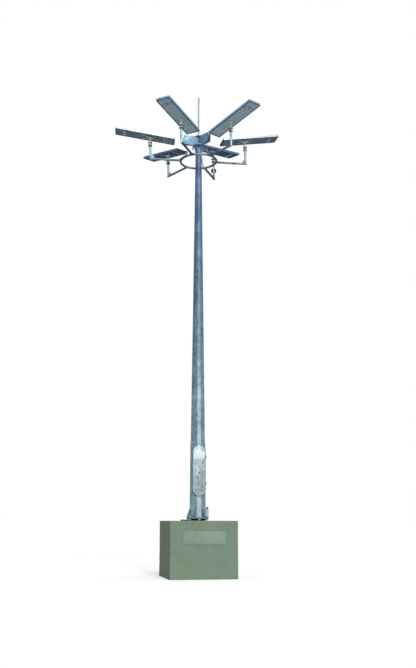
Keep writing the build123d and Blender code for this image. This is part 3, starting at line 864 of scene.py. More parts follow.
    def done(self, paint: str, body: Body | None, slot: str, replaces: Sequence[str] = (),
             crease: float = 32.0) -> bpy.types.Object:
        """Close the shape and make it a piece of the tower.

        Args:
            paint: its finish.
            body: the body that it moves with, or None to leave it on no body.
            slot: the record's material slot; not used.
            replaces: CAD nodes that it stands for.
            crease: angle in degrees above which an edge stays sharp.

        Returns:
            The new object.
        """
        bmesh.ops.recalc_face_normals(self.mesh, faces=self.mesh.faces)
        data = bpy.data.meshes.new(self.name)
        self.mesh.to_mesh(data)
        self.mesh.free()
        data.shade_smooth()
        data.set_sharp_from_angle(angle=radians(crease))
        piece = bpy.data.objects.new(self.name, data)
        bpy.context.scene.collection.objects.link(piece)
        Shape.paints.coat(piece, paint)
        if replaces:
            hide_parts(*replaces)
        if body is not None:
            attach(piece, body.value)
        LOG.info("%s: %d faces", self.name, len(data.polygons))
        return piece


# ------------------------------------------------------------------ layout
@dataclass(frozen=True)
class LampSpot:
    """One lamp's place and finishes, among them lit and shaded copies that paint light.

    Its arm's heading, its own turn, tilt and roll in degrees and its lift in metres come first.
    """

    deg: float
    turn: float
    tilt: float
    roll: float
    lift: float
    underside: Underside
    arm: str = "tube_zinc"
    frame: str = "lamp_frame"


@dataclass(frozen=True)
class Rig:
    """The tower's layout, in metres, shared by every sub-assembly."""

    plinth_top: float = 1.370
    mast_foot: float = 1.442
    joint: float = 3.330
    mast_top: float = 11.430
    lower_af: Point2 = (0.392, 0.370)
    upper_af: Point2 = (0.352, 0.154)
    ring_z: float = 10.989
    ring_r: float = 0.487
    tube_r: float = 0.030
    post_r: float = 1.326
    post_top: float = 0.600
    fitter_foot: float = 0.480
    lamp_seat: float = 0.641
    collar_share: float = 0.6
    dip: float = 1.5
    dip_heading: float = 101.0
    head_headings: tuple[float, ...] = (87.0, 207.0, 327.0)
    head_gap: float = 0.012
    sheave_up: float = 0.129
    sheave_at: float = 0.230
    sheave_r: float = 0.105
    groove_r: float = 0.095
    rope_r: float = 0.006
    rope_gap: float = 0.0003
    # arm, frame and underside finishes here include lit and shaded copies of one material: painted light
    lamps: tuple[LampSpot, ...] = (
        LampSpot(30, 8.8, 9.7, -1.2, 0.0, Underside.LIT, "tube_shaded"),
        LampSpot(90, 6.7, 10.6, 0.4, -0.028, Underside.DIM, "arm_zinc", "frame_lit"),
        LampSpot(150, 1.5, 11.2, 0.5, 0.0, Underside.DARK, frame="frame_shaded"),
        LampSpot(210, 23.7, 7.7, 2.1, 0.200, Underside.DARK, "tube_shaded", "frame_shaded"),
        LampSpot(270, -4.3, 9.5, -1.5, 0.020, Underside.HALF_LIT, "rusted_arm", "frame_lit"),
        LampSpot(330, -0.4, 10.6, -1.4, 0.0, Underside.LIT),
    )

    @property
    def head_z(self) -> float:
        """Underside of the pulley arms."""
        return self.mast_top + self.head_gap

    @property
    def sheave_z(self) -> float:
        """Height of the pulleys' axles."""
        return self.head_z + self.sheave_up

    @property
    def wrap_r(self) -> float:
        """A pulley's axle to the middle of the rope on it."""
        return self.groove_r + self.rope_gap + self.rope_r

    @property
    def fall_r(self) -> float:
        """Mast's axis to a rope's fall."""
        return self.sheave_at + self.wrap_r

    def across(self, z: float) -> float:
        """Across-flats size of the mast at a height.

        Args:
            z: the height.

        Returns:
            The size.
        """
        lower = (*self.lower_af, self.mast_foot, self.joint)
        upper = (*self.upper_af, self.joint, self.mast_top)
        low, high, start, end = lower if z < self.joint else upper
        return low + (high - low) * (z - start) / (end - start)

    def front(self, x: float, z: float) -> float:
        """How far the mast's front skin stands before its axis, at a distance to one side."""
        flats = (radians(turn) for turn in (0, 30, 60))
        return min((self.across(z) / 2 - abs(x) * sin(a)) / cos(a) for a in flats)

    def skin(self, deg: float, z: float, gap: float) -> Vector:
        """Point a gap outside the middle of one of the mast's faces."""
        return heading(deg) * (self.across(z) / 2 + gap) + rise(z)

    def belt(self, z: float, swell: float = 0.0) -> list[Vector]:
        """Corners of the mast's outline at a height, drawn out by a margin."""
        radius = (self.across(z) / 2 + swell) / cos(pi / 12)
        return [heading(15 + 30 * k) * radius + rise(z) for k in range(12)]

    def hang(self) -> Matrix:
        """From the level carriage to where it hangs, a turn about the ring's centre."""
        low, lift = heading(self.dip_heading), shift(z=self.ring_z)
        return lift @ spin(radians(self.dip), Vector((-low.y, low.x, 0))) @ lift.inverted()

    def arm(self, deg: float, up: float = 0.0) -> Matrix:
        """Frame on the ring's centre, x out along an arm, z up."""
        return self.hang() @ place((0, 0, self.ring_z + up), heading(deg), UP)

    def post(self, deg: float, up: float = 0.0) -> Matrix:
        """Frame on a lamp post's axis."""
        return self.arm(deg, up) @ shift(self.post_r)

    def lamp(self, spot: LampSpot) -> Matrix:
        """Frame on a lamp's underside over its post, x towards its outer end.

        Args:
            spot: the lamp's place.

        Returns:
            The frame.
        """
        foot = heading(spot.deg) * self.post_r
        level = rise(self.ring_z + self.lamp_seat + spot.lift)
        seat = place(foot + level, heading(spot.deg + spot.turn), UP)
        return self.hang() @ seat @ spin(-radians(spot.tilt), "Y") @ spin(radians(spot.roll), "X")


RIG = Rig()


# ------------------------------------------------------------------ plinth
@dataclass
class Plinth:
    """Painted concrete block with worn arrises and a bare painted plaque."""

    points_per_side: int = 60
    levels: int = 44
    arris: float = 0.014
    arris_turns: tuple[float, ...] = (0.5, 1.0, pi / 2)
    top_shares: tuple[float, ...] = (0.02, 0.08, 0.2, 0.4, 0.6, 0.8)
    wear: float = 0.004
    worn_band: float = 0.05
    dent: float = 0.0007
    plaque_edge: float = 0.004
    plaque_corner: float = 0.006
    plaque_step: float = 0.03
    plug_in: float = 0.035
    plug: Profile = mm((11, -4), (11, 0.2), (8, 0.9))

    def build(self) -> None:
        """Make the block and its plaque."""
        self.block()
        self.plaque()

    def outline(self, width: float, depth: float) -> list[Point2]:
        """Rectangle with evenly spaced points and eased corners.

        Args:
            width: size along x.
            depth: size along y.

        Returns:
            The outline.
        """
        corners = rounded(width, depth, self.arris, 4)
        points = []
        for start, end in zip(corners, corners[1:] + corners[:1]):
            length = (Vector(end) - Vector(start)).length
            pieces = self.points_per_side if length > 0.2 else 1
            points += [tuple(Vector(start).lerp(Vector(end), j / pieces)) for j in range(pieces)]
        return points

    def worn(self, point: Vector, half: Vector, top: float) -> Vector:
        """Move a point of the surface inward by dents, most at the arrises.

        Args:
            point: the even surface's point.
            half: half the block's size in plan.
            top: the block's height.

        Returns:
            The dented surface's point.
        """
        aside = (half.x - abs(point.x), half.y - abs(point.y))
        edge = min(sum(aside), top - point.z + min(aside))
        near = max(0.0, 1.0 - edge / self.worn_band)
        chip = max(0.0, noise.noise(point * 9.0) - 0.25) * near * self.wear * 3
        dent = (noise.fractal(point * 3.0, 1.0, 2.0, 4) + 1) * self.dent + chip
        inward = [-at if abs(at) > 0.98 else 0 for at in (point.x / half.x, point.y / half.y)]
        return point + Vector((*inward, 0)) * dent - rise(dent if point.z > top - 0.02 else 0)

    def block(self) -> None:
        """The block itself."""
        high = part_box("plinth")[1]
        half, top = Vector((high.x, high.y)), high.z
        shape = Shape("plinth_block")
        arris, wall = self.arris, top - self.arris
        stations = [(0.0, wall * k / self.levels) for k in range(self.levels + 1)]
        stations += [(arris * (1 - cos(turn)), top - arris * (1 - sin(turn))) for turn in self.arris_turns]
        stations += [(arris + half.x * share, top) for share in self.top_shares]
        rings = []
        for inset, z in stations:
            outline = self.outline(2 * (half.x - inset), 2 * (half.y - inset))
            rings.append([self.worn(Vector((x, y, z)), half, top) for x, y in outline])
        shape.loft(rings)
        shape.done("painted_concrete", Body.MAST, "painted_concrete", ("plinth",), 40)

    def plaque(self) -> None:
        """The bare plaque with a painted-over edge and four plugged fixings."""
        low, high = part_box("plinth_plaque")
        at = place(((low.x + high.x) / 2, high.y, (low.z + high.z) / 2), (1, 0, 0), (0, -1, 0))
        wide, tall, thick = high.x - low.x, high.z - low.z, high.y - low.y
        step, corner, edge = self.plaque_step, self.plaque_corner, self.plaque_edge
        shape = Shape("plaque")
        shape.plate(at, rounded(wide, tall, corner, 4), 0.0, thick * 0.72, edge)
        shape.plate(at, rounded(wide - step, tall - step, corner, 4), thick * 0.5, thick, edge * 0.6)
        for x, y in CORNERS:
            spot = at @ shift(x * (wide / 2 - self.plug_in), y * (tall / 2 - self.plug_in), thick - 0.001)
            shape.lathe(spot, self.plug, 20)
        shape.done("plaque_paint", Body.MAST, "plaque_paint", ("plinth_plaque",))


# ------------------------------------------------------------------ mast
@dataclass
class MastFoot:
    """Studs and nuts, foot and gusset welds, the earthing lug's bolts and the lead."""

    flange_r: float = 0.280
    flange_low: float = 1.420
    stud_circle: float = 0.250
    studs: int = 6
    stud_r: float = 0.015
    stud_pitch: float = 0.004
    nut: float = 0.045
    nut_room: float = 0.022
    tail: float = 0.028
    gusset: float = 0.230
    gusset_face: float = 0.0065
    lead_deg: float = 96.0
    lead_run: Point2 = (0.190, 0.430)
    lead_half: float = 0.018
    lead_t: float = 0.028
    lead_bolt: float = 0.380
    lug_deg: float = 285.0
    lug_run: Point2 = (0.212, 0.270)
    lug_eye: Point2 = (0.242, 0.240)
    lug_faces: Point2 = (0.004, 0.0045)

    def build(self) -> None:
        """Dress the foot."""
        self.fixings()
        self.welds()
        self.lead()
        self.lug()

    def fixings(self) -> None:
        """Six threaded studs, each with a nut and washer above and below the flange."""
        shape = Shape("studs_and_nuts")
        gap = RIG.mast_foot - RIG.plinth_top
        for k in range(self.studs):
            axis = stand(k * 360 / self.studs, self.stud_circle, RIG.plinth_top)
            shape.thread(axis, self.stud_r, gap + self.nut_room + self.tail, self.stud_pitch, 20)
            shape.bolt(axis @ shift(z=gap), self.nut)
            shape.bolt(axis @ shift(z=self.flange_low - RIG.plinth_top) @ FLIP, self.nut)
        shape.done("stud_steel", Body.MAST, "stud_steel", ("anchor_bolts",))

    def welds(self) -> None:
        """Beads round the mast's foot and up both sides of each gusset."""
        shape = Shape("foot_welds")
        floor, top_z = RIG.mast_foot, RIG.mast_foot + self.gusset
        shape.bead(RIG.belt(floor + 0.003, 0.002), 0.0055, loop=True)
        for k in range(self.studs):
            deg = (k + 0.5) * 360 / self.studs
            out, across = heading(deg), heading(deg + 90)
            for side in BOTH:
                lean = across * side * self.gusset_face
                foot = out * (RIG.across(floor) / 2 + 0.001) + lean + rise(floor + 0.006)
                top = out * (RIG.across(top_z) / 2 + 0.001) + lean + rise(top_z - 0.006)
                shape.bead([foot, top], 0.0035)
                tip = out * (self.flange_r - 0.008) + lean + rise(floor + 0.002)
                shape.bead([foot - rise(0.004), tip], 0.0035)
        shape.done("weld", Body.MAST, "galvanised_steel")

    def lead(self) -> None:
        """The covered earthing lead that leaves under the flange."""
        shape = Shape("earth_lead")
        start, end = self.lead_run
        outline = box_outline((start, -self.lead_half), (end, self.lead_half))
        shape.plate(stand(self.lead_deg, 0.0, RIG.plinth_top + 0.0005), outline, 0.0, self.lead_t, 0.004)
        shape.done("weathered_strip", Body.MAST, "weathered_strip", ("earth_strip",))

    def lug(self) -> None:
        """A bolt through the lug's eye, welds at its foot, and the bolt that holds the lead."""
        out = heading(self.lug_deg)
        across = out.cross(UP)
        reach, up = self.lug_eye
        bolt_face, weld_face = self.lug_faces
        eye, fixings = Shape("earth_lug_bolt"), Shape("earthing_fixings")
        fixings.bolt(stand(self.lead_deg, self.lead_bolt, RIG.plinth_top + self.lead_t), 0.017, 0.010)
        for side in BOTH:
            face = across * side
            centre = out * reach + face * bolt_face + rise(RIG.mast_foot + up)
            # a real bolt through the lug's eye, in the dark bolt finish so that it also paints the shade
            # inside the eye
            eye.bolt(place(centre, UP, face), 0.026, 0.012)
            line = [out * run + face * weld_face + rise(RIG.mast_foot + 0.002) for run in self.lug_run]
            fixings.bead(line, 0.0028)
        eye.done("dark_bolts", Body.MAST, "stud_steel")
        fixings.done("stud_steel", Body.MAST, "stud_steel")


@dataclass
class Mast:
    """Seams, the slip joint's lip and its bolts."""

    seam_headings: tuple[float, ...] = (120.0, 300.0)
    seam_r: float = 0.0022
    seam_steps: int = 40
    bolt_headings: tuple[float, ...] = (60.0, 150.0, 240.0, 330.0)
    bolt_drop: float = 0.035
    washer: Profile = mm((30, 0), (33, 1), (33, 4), (30, 5))
    dome: Profile = mm((24, 4), (24, 12), (21.5, 19), (16, 24), (9, 27), (1, 28))

    def build(self) -> None:
        """Dress both lengths of the mast."""
        self.seams()
        self.bolts()

    def seams(self) -> None:
        """The long seams and the beads at the joint and under the head."""
        shape = Shape("mast_seams")
        lengths = ((RIG.mast_foot + 0.01, RIG.joint - 0.004), (RIG.joint + 0.006, RIG.mast_top - 0.01))
        for deg in self.seam_headings:
            for low, high in lengths:
                heights = [low + (high - low) * k / self.seam_steps for k in range(self.seam_steps + 1)]
                shape.tube([RIG.skin(deg, z, 0.0002) for z in heights], self.seam_r, 6)
        shape.bead(RIG.belt(RIG.joint + 0.001, 0.001), 0.004, loop=True)
        shape.bead(RIG.belt(RIG.mast_top - 0.004, 0.001), 0.004, loop=True)
        shape.done("weld", Body.MAST, "galvanised_steel")

    def bolts(self) -> None:
        """Round-headed joint bolts on washers."""
        shape, washer = Shape("joint_bolt_heads"), Shape("joint_bolt_washers")
        for deg in self.bolt_headings:
            at = place(RIG.skin(deg, RIG.joint - self.bolt_drop, 0.0005), UP, heading(deg))
            washer.lathe(at, self.washer, 32)
            shape.lathe(at, self.dome, 28)
        washer.done("dark_bolts", Body.MAST, "stud_steel")
        shape.done("stud_steel", Body.MAST, "stud_steel", ("joint_bolts",))


# ------------------------------------------------------------------ door
@dataclass
class Door:
    """Slot-shaped door: frame weld, leaf, seal, plate, lock and hinges."""

    width: float = 0.340
    height: float = 1.270
    sill: float = 0.600
    lap: float = 0.010
    weld_swell: float = 0.003
    leaf_back: float = 0.215
    leaf_t: float = 0.006
    rim_in: float = 0.006
    seal_in: float = 0.008
    label: Point2 = (0.280, 0.184)
    label_corner: float = 0.012
    label_t: float = 0.0016
    label_up: float = 0.384
    rivet_in: float = 0.014
    rivet: Profile = mm((4.2, 0), (4, 0.9), (2.8, 1.8), (0.8, 2.2))
    lock_up: float = -0.065
    lock_back: float = -0.019
    lock_proud: float = 0.0028
    key_post: float = 0.0072
    cam: Point2 = (0.024, 0.090)
    cam_at: Point2 = (0.030, -0.026)
    cam_t: float = 0.006
    hinge: Point2 = (0.173, 0.218)
    hinge_up: float = 0.330
    pin_end: float = 0.0395
    pin: Profile = mm((7.2, 0.5), (7.5, 1.2), (7.3, 3), (5, 4.8), (1, 5.6))
    strap: Point2 = (0.1451, 0.159)
    strap_half: float = 0.030

    @property
    def middle(self) -> float:
        """Height of the door's middle."""
        return RIG.plinth_top + self.sill + self.height / 2

    @property
    def outline(self) -> list[Point2]:
        """The leaf's outline."""
        return slot_outline(self.width - 2 * self.lap, self.height - 2 * self.lap, 32)

    def at(self, depth: float, up: float = 0.0) -> Matrix:
        """Frame on the door's middle, z out of the door."""
        return place((0, -depth, self.middle + up), (1, 0, 0), (0, -1, 0))

    def build(self) -> None:
        """Make every piece of the door."""
        self.frame_weld()
        self.leaf()
        self.plate()
        self.lock()
        self.hinges()

    def frame_weld(self) -> None:
        """Bead where the frame passes through the mast's wall."""
        shape = Shape("door_frame_weld")
        line = []
        for x, up in slot_outline(self.width + self.weld_swell, self.height + self.weld_swell):
            z = self.middle + up
            line.append(Vector((x, -RIG.front(x, z) - 0.001, z)))
        shape.bead(line, 0.0045, loop=True)
        shape.done("weld", Body.MAST, "galvanised_steel")

    def leaf(self) -> None:
        """The leaf with an eased edge, its bright rim and its seal."""
        shape, rim, seal = Shape("door_leaf_skin"), Shape("door_leaf_rim"), Shape("door_seal")
        shape.plate(self.at(self.leaf_back), self.outline, 0.0, self.leaf_t, 0.0016)
        shape.done("speckled_leaf", Body.DOOR, "galvanised_steel", ("door",))
        front, back = self.at(self.leaf_back + self.leaf_t), self.at(self.leaf_back)
        rim.tube(lay(front, shrink(self.outline, self.rim_in), -0.0006), 0.0026, 8, loop=True)
        rim.done("leaf_edge", Body.DOOR, "galvanised_steel")
        seal.tube(lay(back, shrink(self.outline, self.seal_in), -0.0018), 0.0018, 8, loop=True)
        seal.done("rubber", Body.DOOR, "dark_fixing")

    def plate(self) -> None:
        """The bare white plate on four rivets."""
        shape, rivets = Shape("door_plate"), Shape("plate_rivets")
        at = self.at(self.leaf_back + self.leaf_t, self.label_up)
        wide, tall = self.label
        shape.plate(at, rounded(wide, tall, self.label_corner, 6), 0.0, self.label_t, 0.0005)
        shape.done("label_plate", Body.DOOR, "label_plate", ("door_label",))
        for x, y in CORNERS:
            spot = at @ shift(x * (wide / 2 - self.rivet_in), y * (tall / 2 - self.rivet_in), 0.0014)
            rivets.lathe(spot, self.rivet, 16)
        rivets.done("stud_steel", Body.DOOR, "stud_steel")

    def lock(self) -> None:
        """Triangle-key lock: a dished ring on a rose, a three-sided post, and the cam behind."""
        shape = Shape("door_lock_body")
        at = self.at(self.leaf_back, self.lock_up)
        back, leaf, face = self.lock_back, self.leaf_t, self.leaf_t + self.lock_proud
        ring = ((0.0147, back), (0.0147, face - 0.001), (0.0138, face), (0.0108, face),
                (0.0098, face - 0.0012), (0.0092, 0.0005), (0.0092, back))
        rose = ((0.0150, leaf - 0.0010), (0.0150, face - 0.0012), (0.0240, leaf + 0.0008),
                (0.0245, leaf - 0.0010))
        shape.lathe(at, ring, 36, loop=True)
        shape.plate(at, ring_outline(self.key_post, 3, pi / 2), back, face - 0.002, 0.0006)
        shape.lathe(at, rose, 36, loop=True)
        shape.lathe(at, ((0.0095, back), (0.0095, -0.004), (0.0093, -0.0038)), 30)
        up, behind = self.cam_at
        shape.plate(at @ shift(0, up, behind), rounded(*self.cam, 0.006, 4), 0.0, self.cam_t, 0.0012)
        shape.hexagon(at @ shift(z=behind - 0.0002) @ FLIP, 0.013, 0.002)
        shape.done("dark_fixing", Body.DOOR, "dark_fixing", ("door_lock",))

    def hinges(self) -> None:
        """Pin heads on the brackets and weld lines on the straps."""
        pins, welds = Shape("hinge_pin_heads"), Shape("hinge_strap_welds")
        x, depth = self.hinge
        face = -self.leaf_back - self.leaf_t - 0.001
        start, end = self.strap
        for side in BOTH:
            mid = self.middle + side * self.hinge_up
            for way in BOTH:
                pins.lathe(place((x, -depth, mid + way * self.pin_end), (1, 0, 0), UP * way), self.pin, 24)
                up = mid + way * (self.strap_half + 0.0005)
                welds.bead([Vector((start, face, up)), Vector((end, face, up))], 0.002)
            welds.bead([Vector((start, face, mid + way * self.strap_half)) for way in BOTH], 0.002)
        pins.done("stud_steel", Body.MAST, "stud_steel")
        welds.done("weld", Body.DOOR, "galvanised_steel")


# ------------------------------------------------------------------ head
@dataclass
class Head:
    """Pulley head: three two-plate arms, sheaves and the lightning rod."""

    width: float = 0.100
    height: float = 0.258
    length: float = 0.420
    plate: float = 0.008
    rim: float = 0.012
    rim_proud: float = 0.004
    skin_in: float = 0.0012
    cover: Point2 = (0.060, 0.310)
    tie: Point2 = (0.385, 0.095)
    disc_run: Point2 = (0.080, 0.160)
    disc_gusset: float = 0.21
    gusset_face: float = 0.0055
    sheave_t: float = 0.034
    groove: float = 0.0065
    axle_r: float = 0.010
    axle_end: float = 0.012
    axle_nut: Point2 = (0.031, 0.009)
    spacer: Profile = mm((16, -11.5), (16, 11.5))
    rod_r: float = 0.020
    rod_tip: float = 12.876
    rod_foot: float = 0.117
    foot_bolts: float = 0.062
    cap_tall: float = 0.157
    coupling_z: float = 12.135
    coupling_tall: float = 0.045

    def build(self) -> None:
        """Make the head."""
        for number, deg in enumerate(RIG.head_headings, start=1):
            self.arm(number, deg)
        self.welds()
        self.sheaves()
        self.rod()

    def side(self, deg: float, way: int, depth: float = 0.0) -> Matrix:
        """Frame on one side plate's inner face at mid height, z outward from the arm.

        Args:
            deg: the arm's heading.
            way: 1 or -1, which side.
            depth: distance outward from the inner face.

        Returns:
            The frame.
        """
        across = UP.cross(heading(deg)) * way
        face = across * (self.width / 2 - self.plate + depth)
        return place(face + rise(RIG.sheave_z), heading(deg), across)

    def arm(self, number: int, deg: float) -> None:
        """Two side plates with raised rims, covers above and below, and tie bolts.

        Args:
            number: the arm's number.
            deg: its heading.
        """
        shape, fixings = Shape(f"pulley_arm_{number}"), Shape(f"pulley_arm_bolts_{number}")
        inner, outer, tall = self.width / 2 / tan(pi / 3) + 0.0004, self.length, self.height / 2
        rim = self.rim
        bars = (((inner, -tall), (outer, rim - tall)), ((inner, tall - rim), (outer, tall)),
                ((inner, -tall), (inner + rim, tall)), ((outer - rim, -tall), (outer, tall)))
        for way in BOTH:
            at = self.side(deg, way)
            skin = self.skin_in
            shape.plate(at, box_outline((inner, -tall), (outer, tall)), 0.0, self.plate - skin, skin)
            for low, high in bars:
                shape.plate(at, box_outline(low, high), self.plate - self.rim_proud, self.plate, 0.0008)
        low, high = self.cover
        for z in (0.0, self.height - self.plate):
            cover = stand(deg, 0.0, RIG.head_z) @ shift((low + high) / 2, 0, z)
            shape.block(cover, (high - low, self.width - self.plate, self.plate), 0.001)
        # painted light: a shaded copy of the zinc on arm 3 and a lit copy on the other two
        paint = "plate_shaded" if number == 3 else "plate_lit"
        shape.done(paint, Body.MAST, "galvanised_steel", (f"head_arm_{number}",))
        x, y = self.tie
        for way in BOTH:
            for up in (y, -y):
                fixings.bolt(self.side(deg, way, self.plate) @ shift(x, up, -0.001), 0.019, 0.006)
        fixings.done("galvanised_plate", Body.MAST, "stud_steel")

    def welds(self) -> None:
        """Beads at the arms' inner corners, on the disc, and on its gussets."""
        shape = Shape("head_welds")
        corner = self.width / 2 / sin(pi / 3) - 0.001
        low, high = RIG.head_z + 0.002, RIG.head_z + self.height - 0.002
        for deg in RIG.head_headings:
            spot = heading(deg + 60) * corner
            shape.bead([spot + rise(low), spot + rise(high)], 0.004)
        level, foot_z = rise(RIG.mast_top - 0.003), RIG.mast_top - self.disc_gusset
        inner, outer = self.disc_run
        for k in range(6):
            out, across = heading(30 + 60 * k), heading(120 + 60 * k)
            for side in BOTH:
                lean = across * side * self.gusset_face
                top = out * inner + lean + level
                shape.bead([top, out * outer + lean + level], 0.003)
                shape.bead([top, out * (RIG.across(foot_z) / 2 + 0.002) + lean + rise(foot_z)], 0.003)
        shape.done("weld", Body.MAST, "galvanised_steel")

    def sheave_profile(self) -> list[Point2]:
        """A pulley's closed section: hub, web, rim and groove, and the same below.

        Returns:
            Radius and height of each corner.
        """
        rim, groove, low, r = RIG.sheave_r, RIG.groove_r, -self.sheave_t / 2, self.groove
        profile = [(0.0112, low), (0.028, low), (0.030, low + 0.002), (0.032, -0.006), (0.074, -0.005),
                   (0.080, low + 0.002), (rim - 0.001, low), (rim, low + 0.001), (rim, low + 0.004)]
        profile += [(groove + r * (1 - cos(turn)), r * sin(turn)) for turn in (-1.5, -0.9, -0.4, 0.0)]
        return profile + [(r, -z) for r, z in reversed(profile[:-1])]

    def sheaves(self) -> None:
        """Grooved pulleys with webs and hubs on bolted axles."""
        shape, axles = Shape("grooved_sheaves"), Shape("sheave_axles")
        r, reach = self.axle_r, self.width / 2
        end = reach + self.axle_end
        spacer = 0.5 * (reach - self.plate + self.sheave_t / 2)
        for deg in RIG.head_headings:
            out = heading(deg)
            at = place(out * RIG.sheave_at + rise(RIG.sheave_z), out, UP.cross(out))
            shape.lathe(at, self.sheave_profile(), 56, loop=True)
            axles.lathe(at, ((r - 0.001, -end), (r, 0.001 - end), (r, end - 0.001), (r - 0.001, end)), 24)
            for way in BOTH:
                nut = at @ shift(z=way * (reach + 0.0003))
                axles.hexagon(nut if way > 0 else nut @ FLIP, *self.axle_nut)
                axles.lathe(at @ shift(z=way * spacer), self.spacer, 24)
        shape.done("cast_sheave", Body.MAST, "cast_sheave", ("sheaves",))
        axles.done("dark_bolts", Body.MAST, "stud_steel")

    def rod(self) -> None:
        """Lightning rod on a bolted foot, with a cap at its tip and a coupling part-way up."""
        shape, tip, sleeve = Shape("rod"), Shape("rod_tip_cap"), Shape("rod_coupling")
        at, r, wide = shift(), self.rod_r, self.rod_foot
        foot, cap, z = RIG.head_z + self.height, self.rod_tip - self.cap_tall, self.coupling_z
        shape.lathe(at, ((wide, foot), (wide + 0.0025, foot + 0.002), (wide + 0.0025, foot + 0.008),
                         (wide, foot + 0.010)), 48)
        shape.lathe(at, ((r + 0.010, foot + 0.008), (r + 0.009, foot + 0.060), (r + 0.006, foot + 0.068),
                         (r, foot + 0.070)), 32)
        shape.lathe(at, ((r, foot + 0.05), (r, cap - 0.001)), 32)
        for k in range(3):
            shape.bolt(stand(30 + 120 * k, self.foot_bolts, foot + 0.010), 0.016, 0.005)
        shape.done("rod_zinc", Body.MAST, "bright_zinc", ("lightning_rod",))
        tip.lathe(at, ((r, cap - 0.005), (r + 0.005, cap), (r + 0.005, self.rod_tip - 0.004),
                       (r + 0.002, self.rod_tip - 0.0005)), 32)
        tip.done("rod_tip", Body.MAST, "bright_zinc")
        swell, top = r + 0.0045, z + self.coupling_tall
        sleeve.lathe(at, ((r, z), (swell, z + 0.003), (swell, top - 0.003), (r, top)), 32)
        sleeve.done("brass", Body.MAST, "weathered_strip")


# ------------------------------------------------------------------ ropes
@dataclass
class Ropes:
    """Stranded falls between the carriage's lugs and the pulleys, and the runs over the pulleys."""

    lug_top: float = 0.1753
    bend: float = 0.026
    drop_r: float = 0.024
    below: float = 0.500
    lay: float = 0.085
    fall_steps: int = 90
    wrap_steps: int = 34
    level_steps: int = 30
    bend_steps: int = 10
    ferrule: Profile = mm((9.5, 0), (11.5, 4), (11.5, 50), (10, 60), (7.5, 66))
    bar: Profile = mm((4, -70), (6, -66), (6, 66), (4, 70))
    bar_up: float = 0.034
    pin_drop: float = 0.020
    pin_face: float = 0.006

    def build(self) -> None:
        """Make the falls and the runs."""
        for number, deg in enumerate(RIG.head_headings, start=1):
            self.fall(number, deg)
        self.runs()
        self.sockets()

    def foot(self, deg: float) -> Vector:
        """Where a fall meets its lug.

        Args:
            deg: the fall's heading.

        Returns:
            The point.
        """
        spot = heading(deg) * RIG.fall_r
        level = RIG.arm(deg, self.lug_top)
        normal, origin = level.col[2].xyz, level.translation
        spot.z = origin.z - (normal.x * (spot.x - origin.x) + normal.y * (spot.y - origin.y)) / normal.z
        return spot

    def fall(self, number: int, deg: float) -> None:
        """One stranded fall, straight from its lug on the carriage up to the pulleys' height.

        Args:
            number: the fall's number.
            deg: its heading.
        """
        low = self.foot(deg)
        high = Vector((low.x, low.y, RIG.sheave_z))
        shape = Shape(f"rope_fall_{number}")
        shape.rope([low] + [low.lerp(high, k) for k in shares(self.fall_steps)], RIG.rope_r, self.lay)
        rope = shape.done("wire_rope", None, "wire_rope", (f"rope_{number}",))
        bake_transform(rope)

    def route(self) -> list[Point2]:
        """A run's reach and height: round the pulley, level, round the guide bend and down.

        Returns:
            The route's points.
        """
        over, bend, start = RIG.wrap_r, self.bend, RIG.sheave_at
        inner, low = self.drop_r + bend, over - bend
        span, drop = start - inner, low + self.below
        path = [(start + over, 0.0)]
        path += [(start + over * cos(pi / 2 * k), over * sin(pi / 2 * k)) for k in shares(self.wrap_steps)]
        path += [(start - span * k, over) for k in shares(self.level_steps)]
        turns = [pi / 2 * k for k in shares(self.bend_steps)]
        path += [(inner - bend * sin(turn), low + bend * cos(turn)) for turn in turns]
        return path + [(self.drop_r, low - drop * k) for k in shares(self.fall_steps)]

    def runs(self) -> None:
        """The ropes over the pulleys and down inside the mast."""
        shape = Shape("rope_over_pulleys")
        for deg in RIG.head_headings:
            line = [heading(deg) * reach + rise(RIG.sheave_z + up) for reach, up in self.route()]
            shape.rope(line, RIG.rope_r, self.lay)
        shape.done("wire_rope", Body.MAST, "wire_rope", ("rope_runs",))

    def sockets(self) -> None:
        """A swaged ferrule, a turnbuckle bar and a shackle pin where each fall meets its lug."""
        shape = Shape("rope_sockets")
        for deg in RIG.head_headings:
            at = place(self.foot(deg), heading(deg), UP)
            shape.lathe(at, self.ferrule, 24)
            shape.lathe(at @ shift(z=self.bar_up) @ spin(pi / 2, "X"), self.bar, 14)
            pin = RIG.arm(deg, self.lug_top - self.pin_drop) @ shift(RIG.fall_r)
            for way in BOTH:
                shape.bolt(pin @ spin(way * pi / 2, "X") @ shift(z=self.pin_face), 0.016, 0.004)
        shape.done("stud_steel", Body.CARRIAGE, "stud_steel")


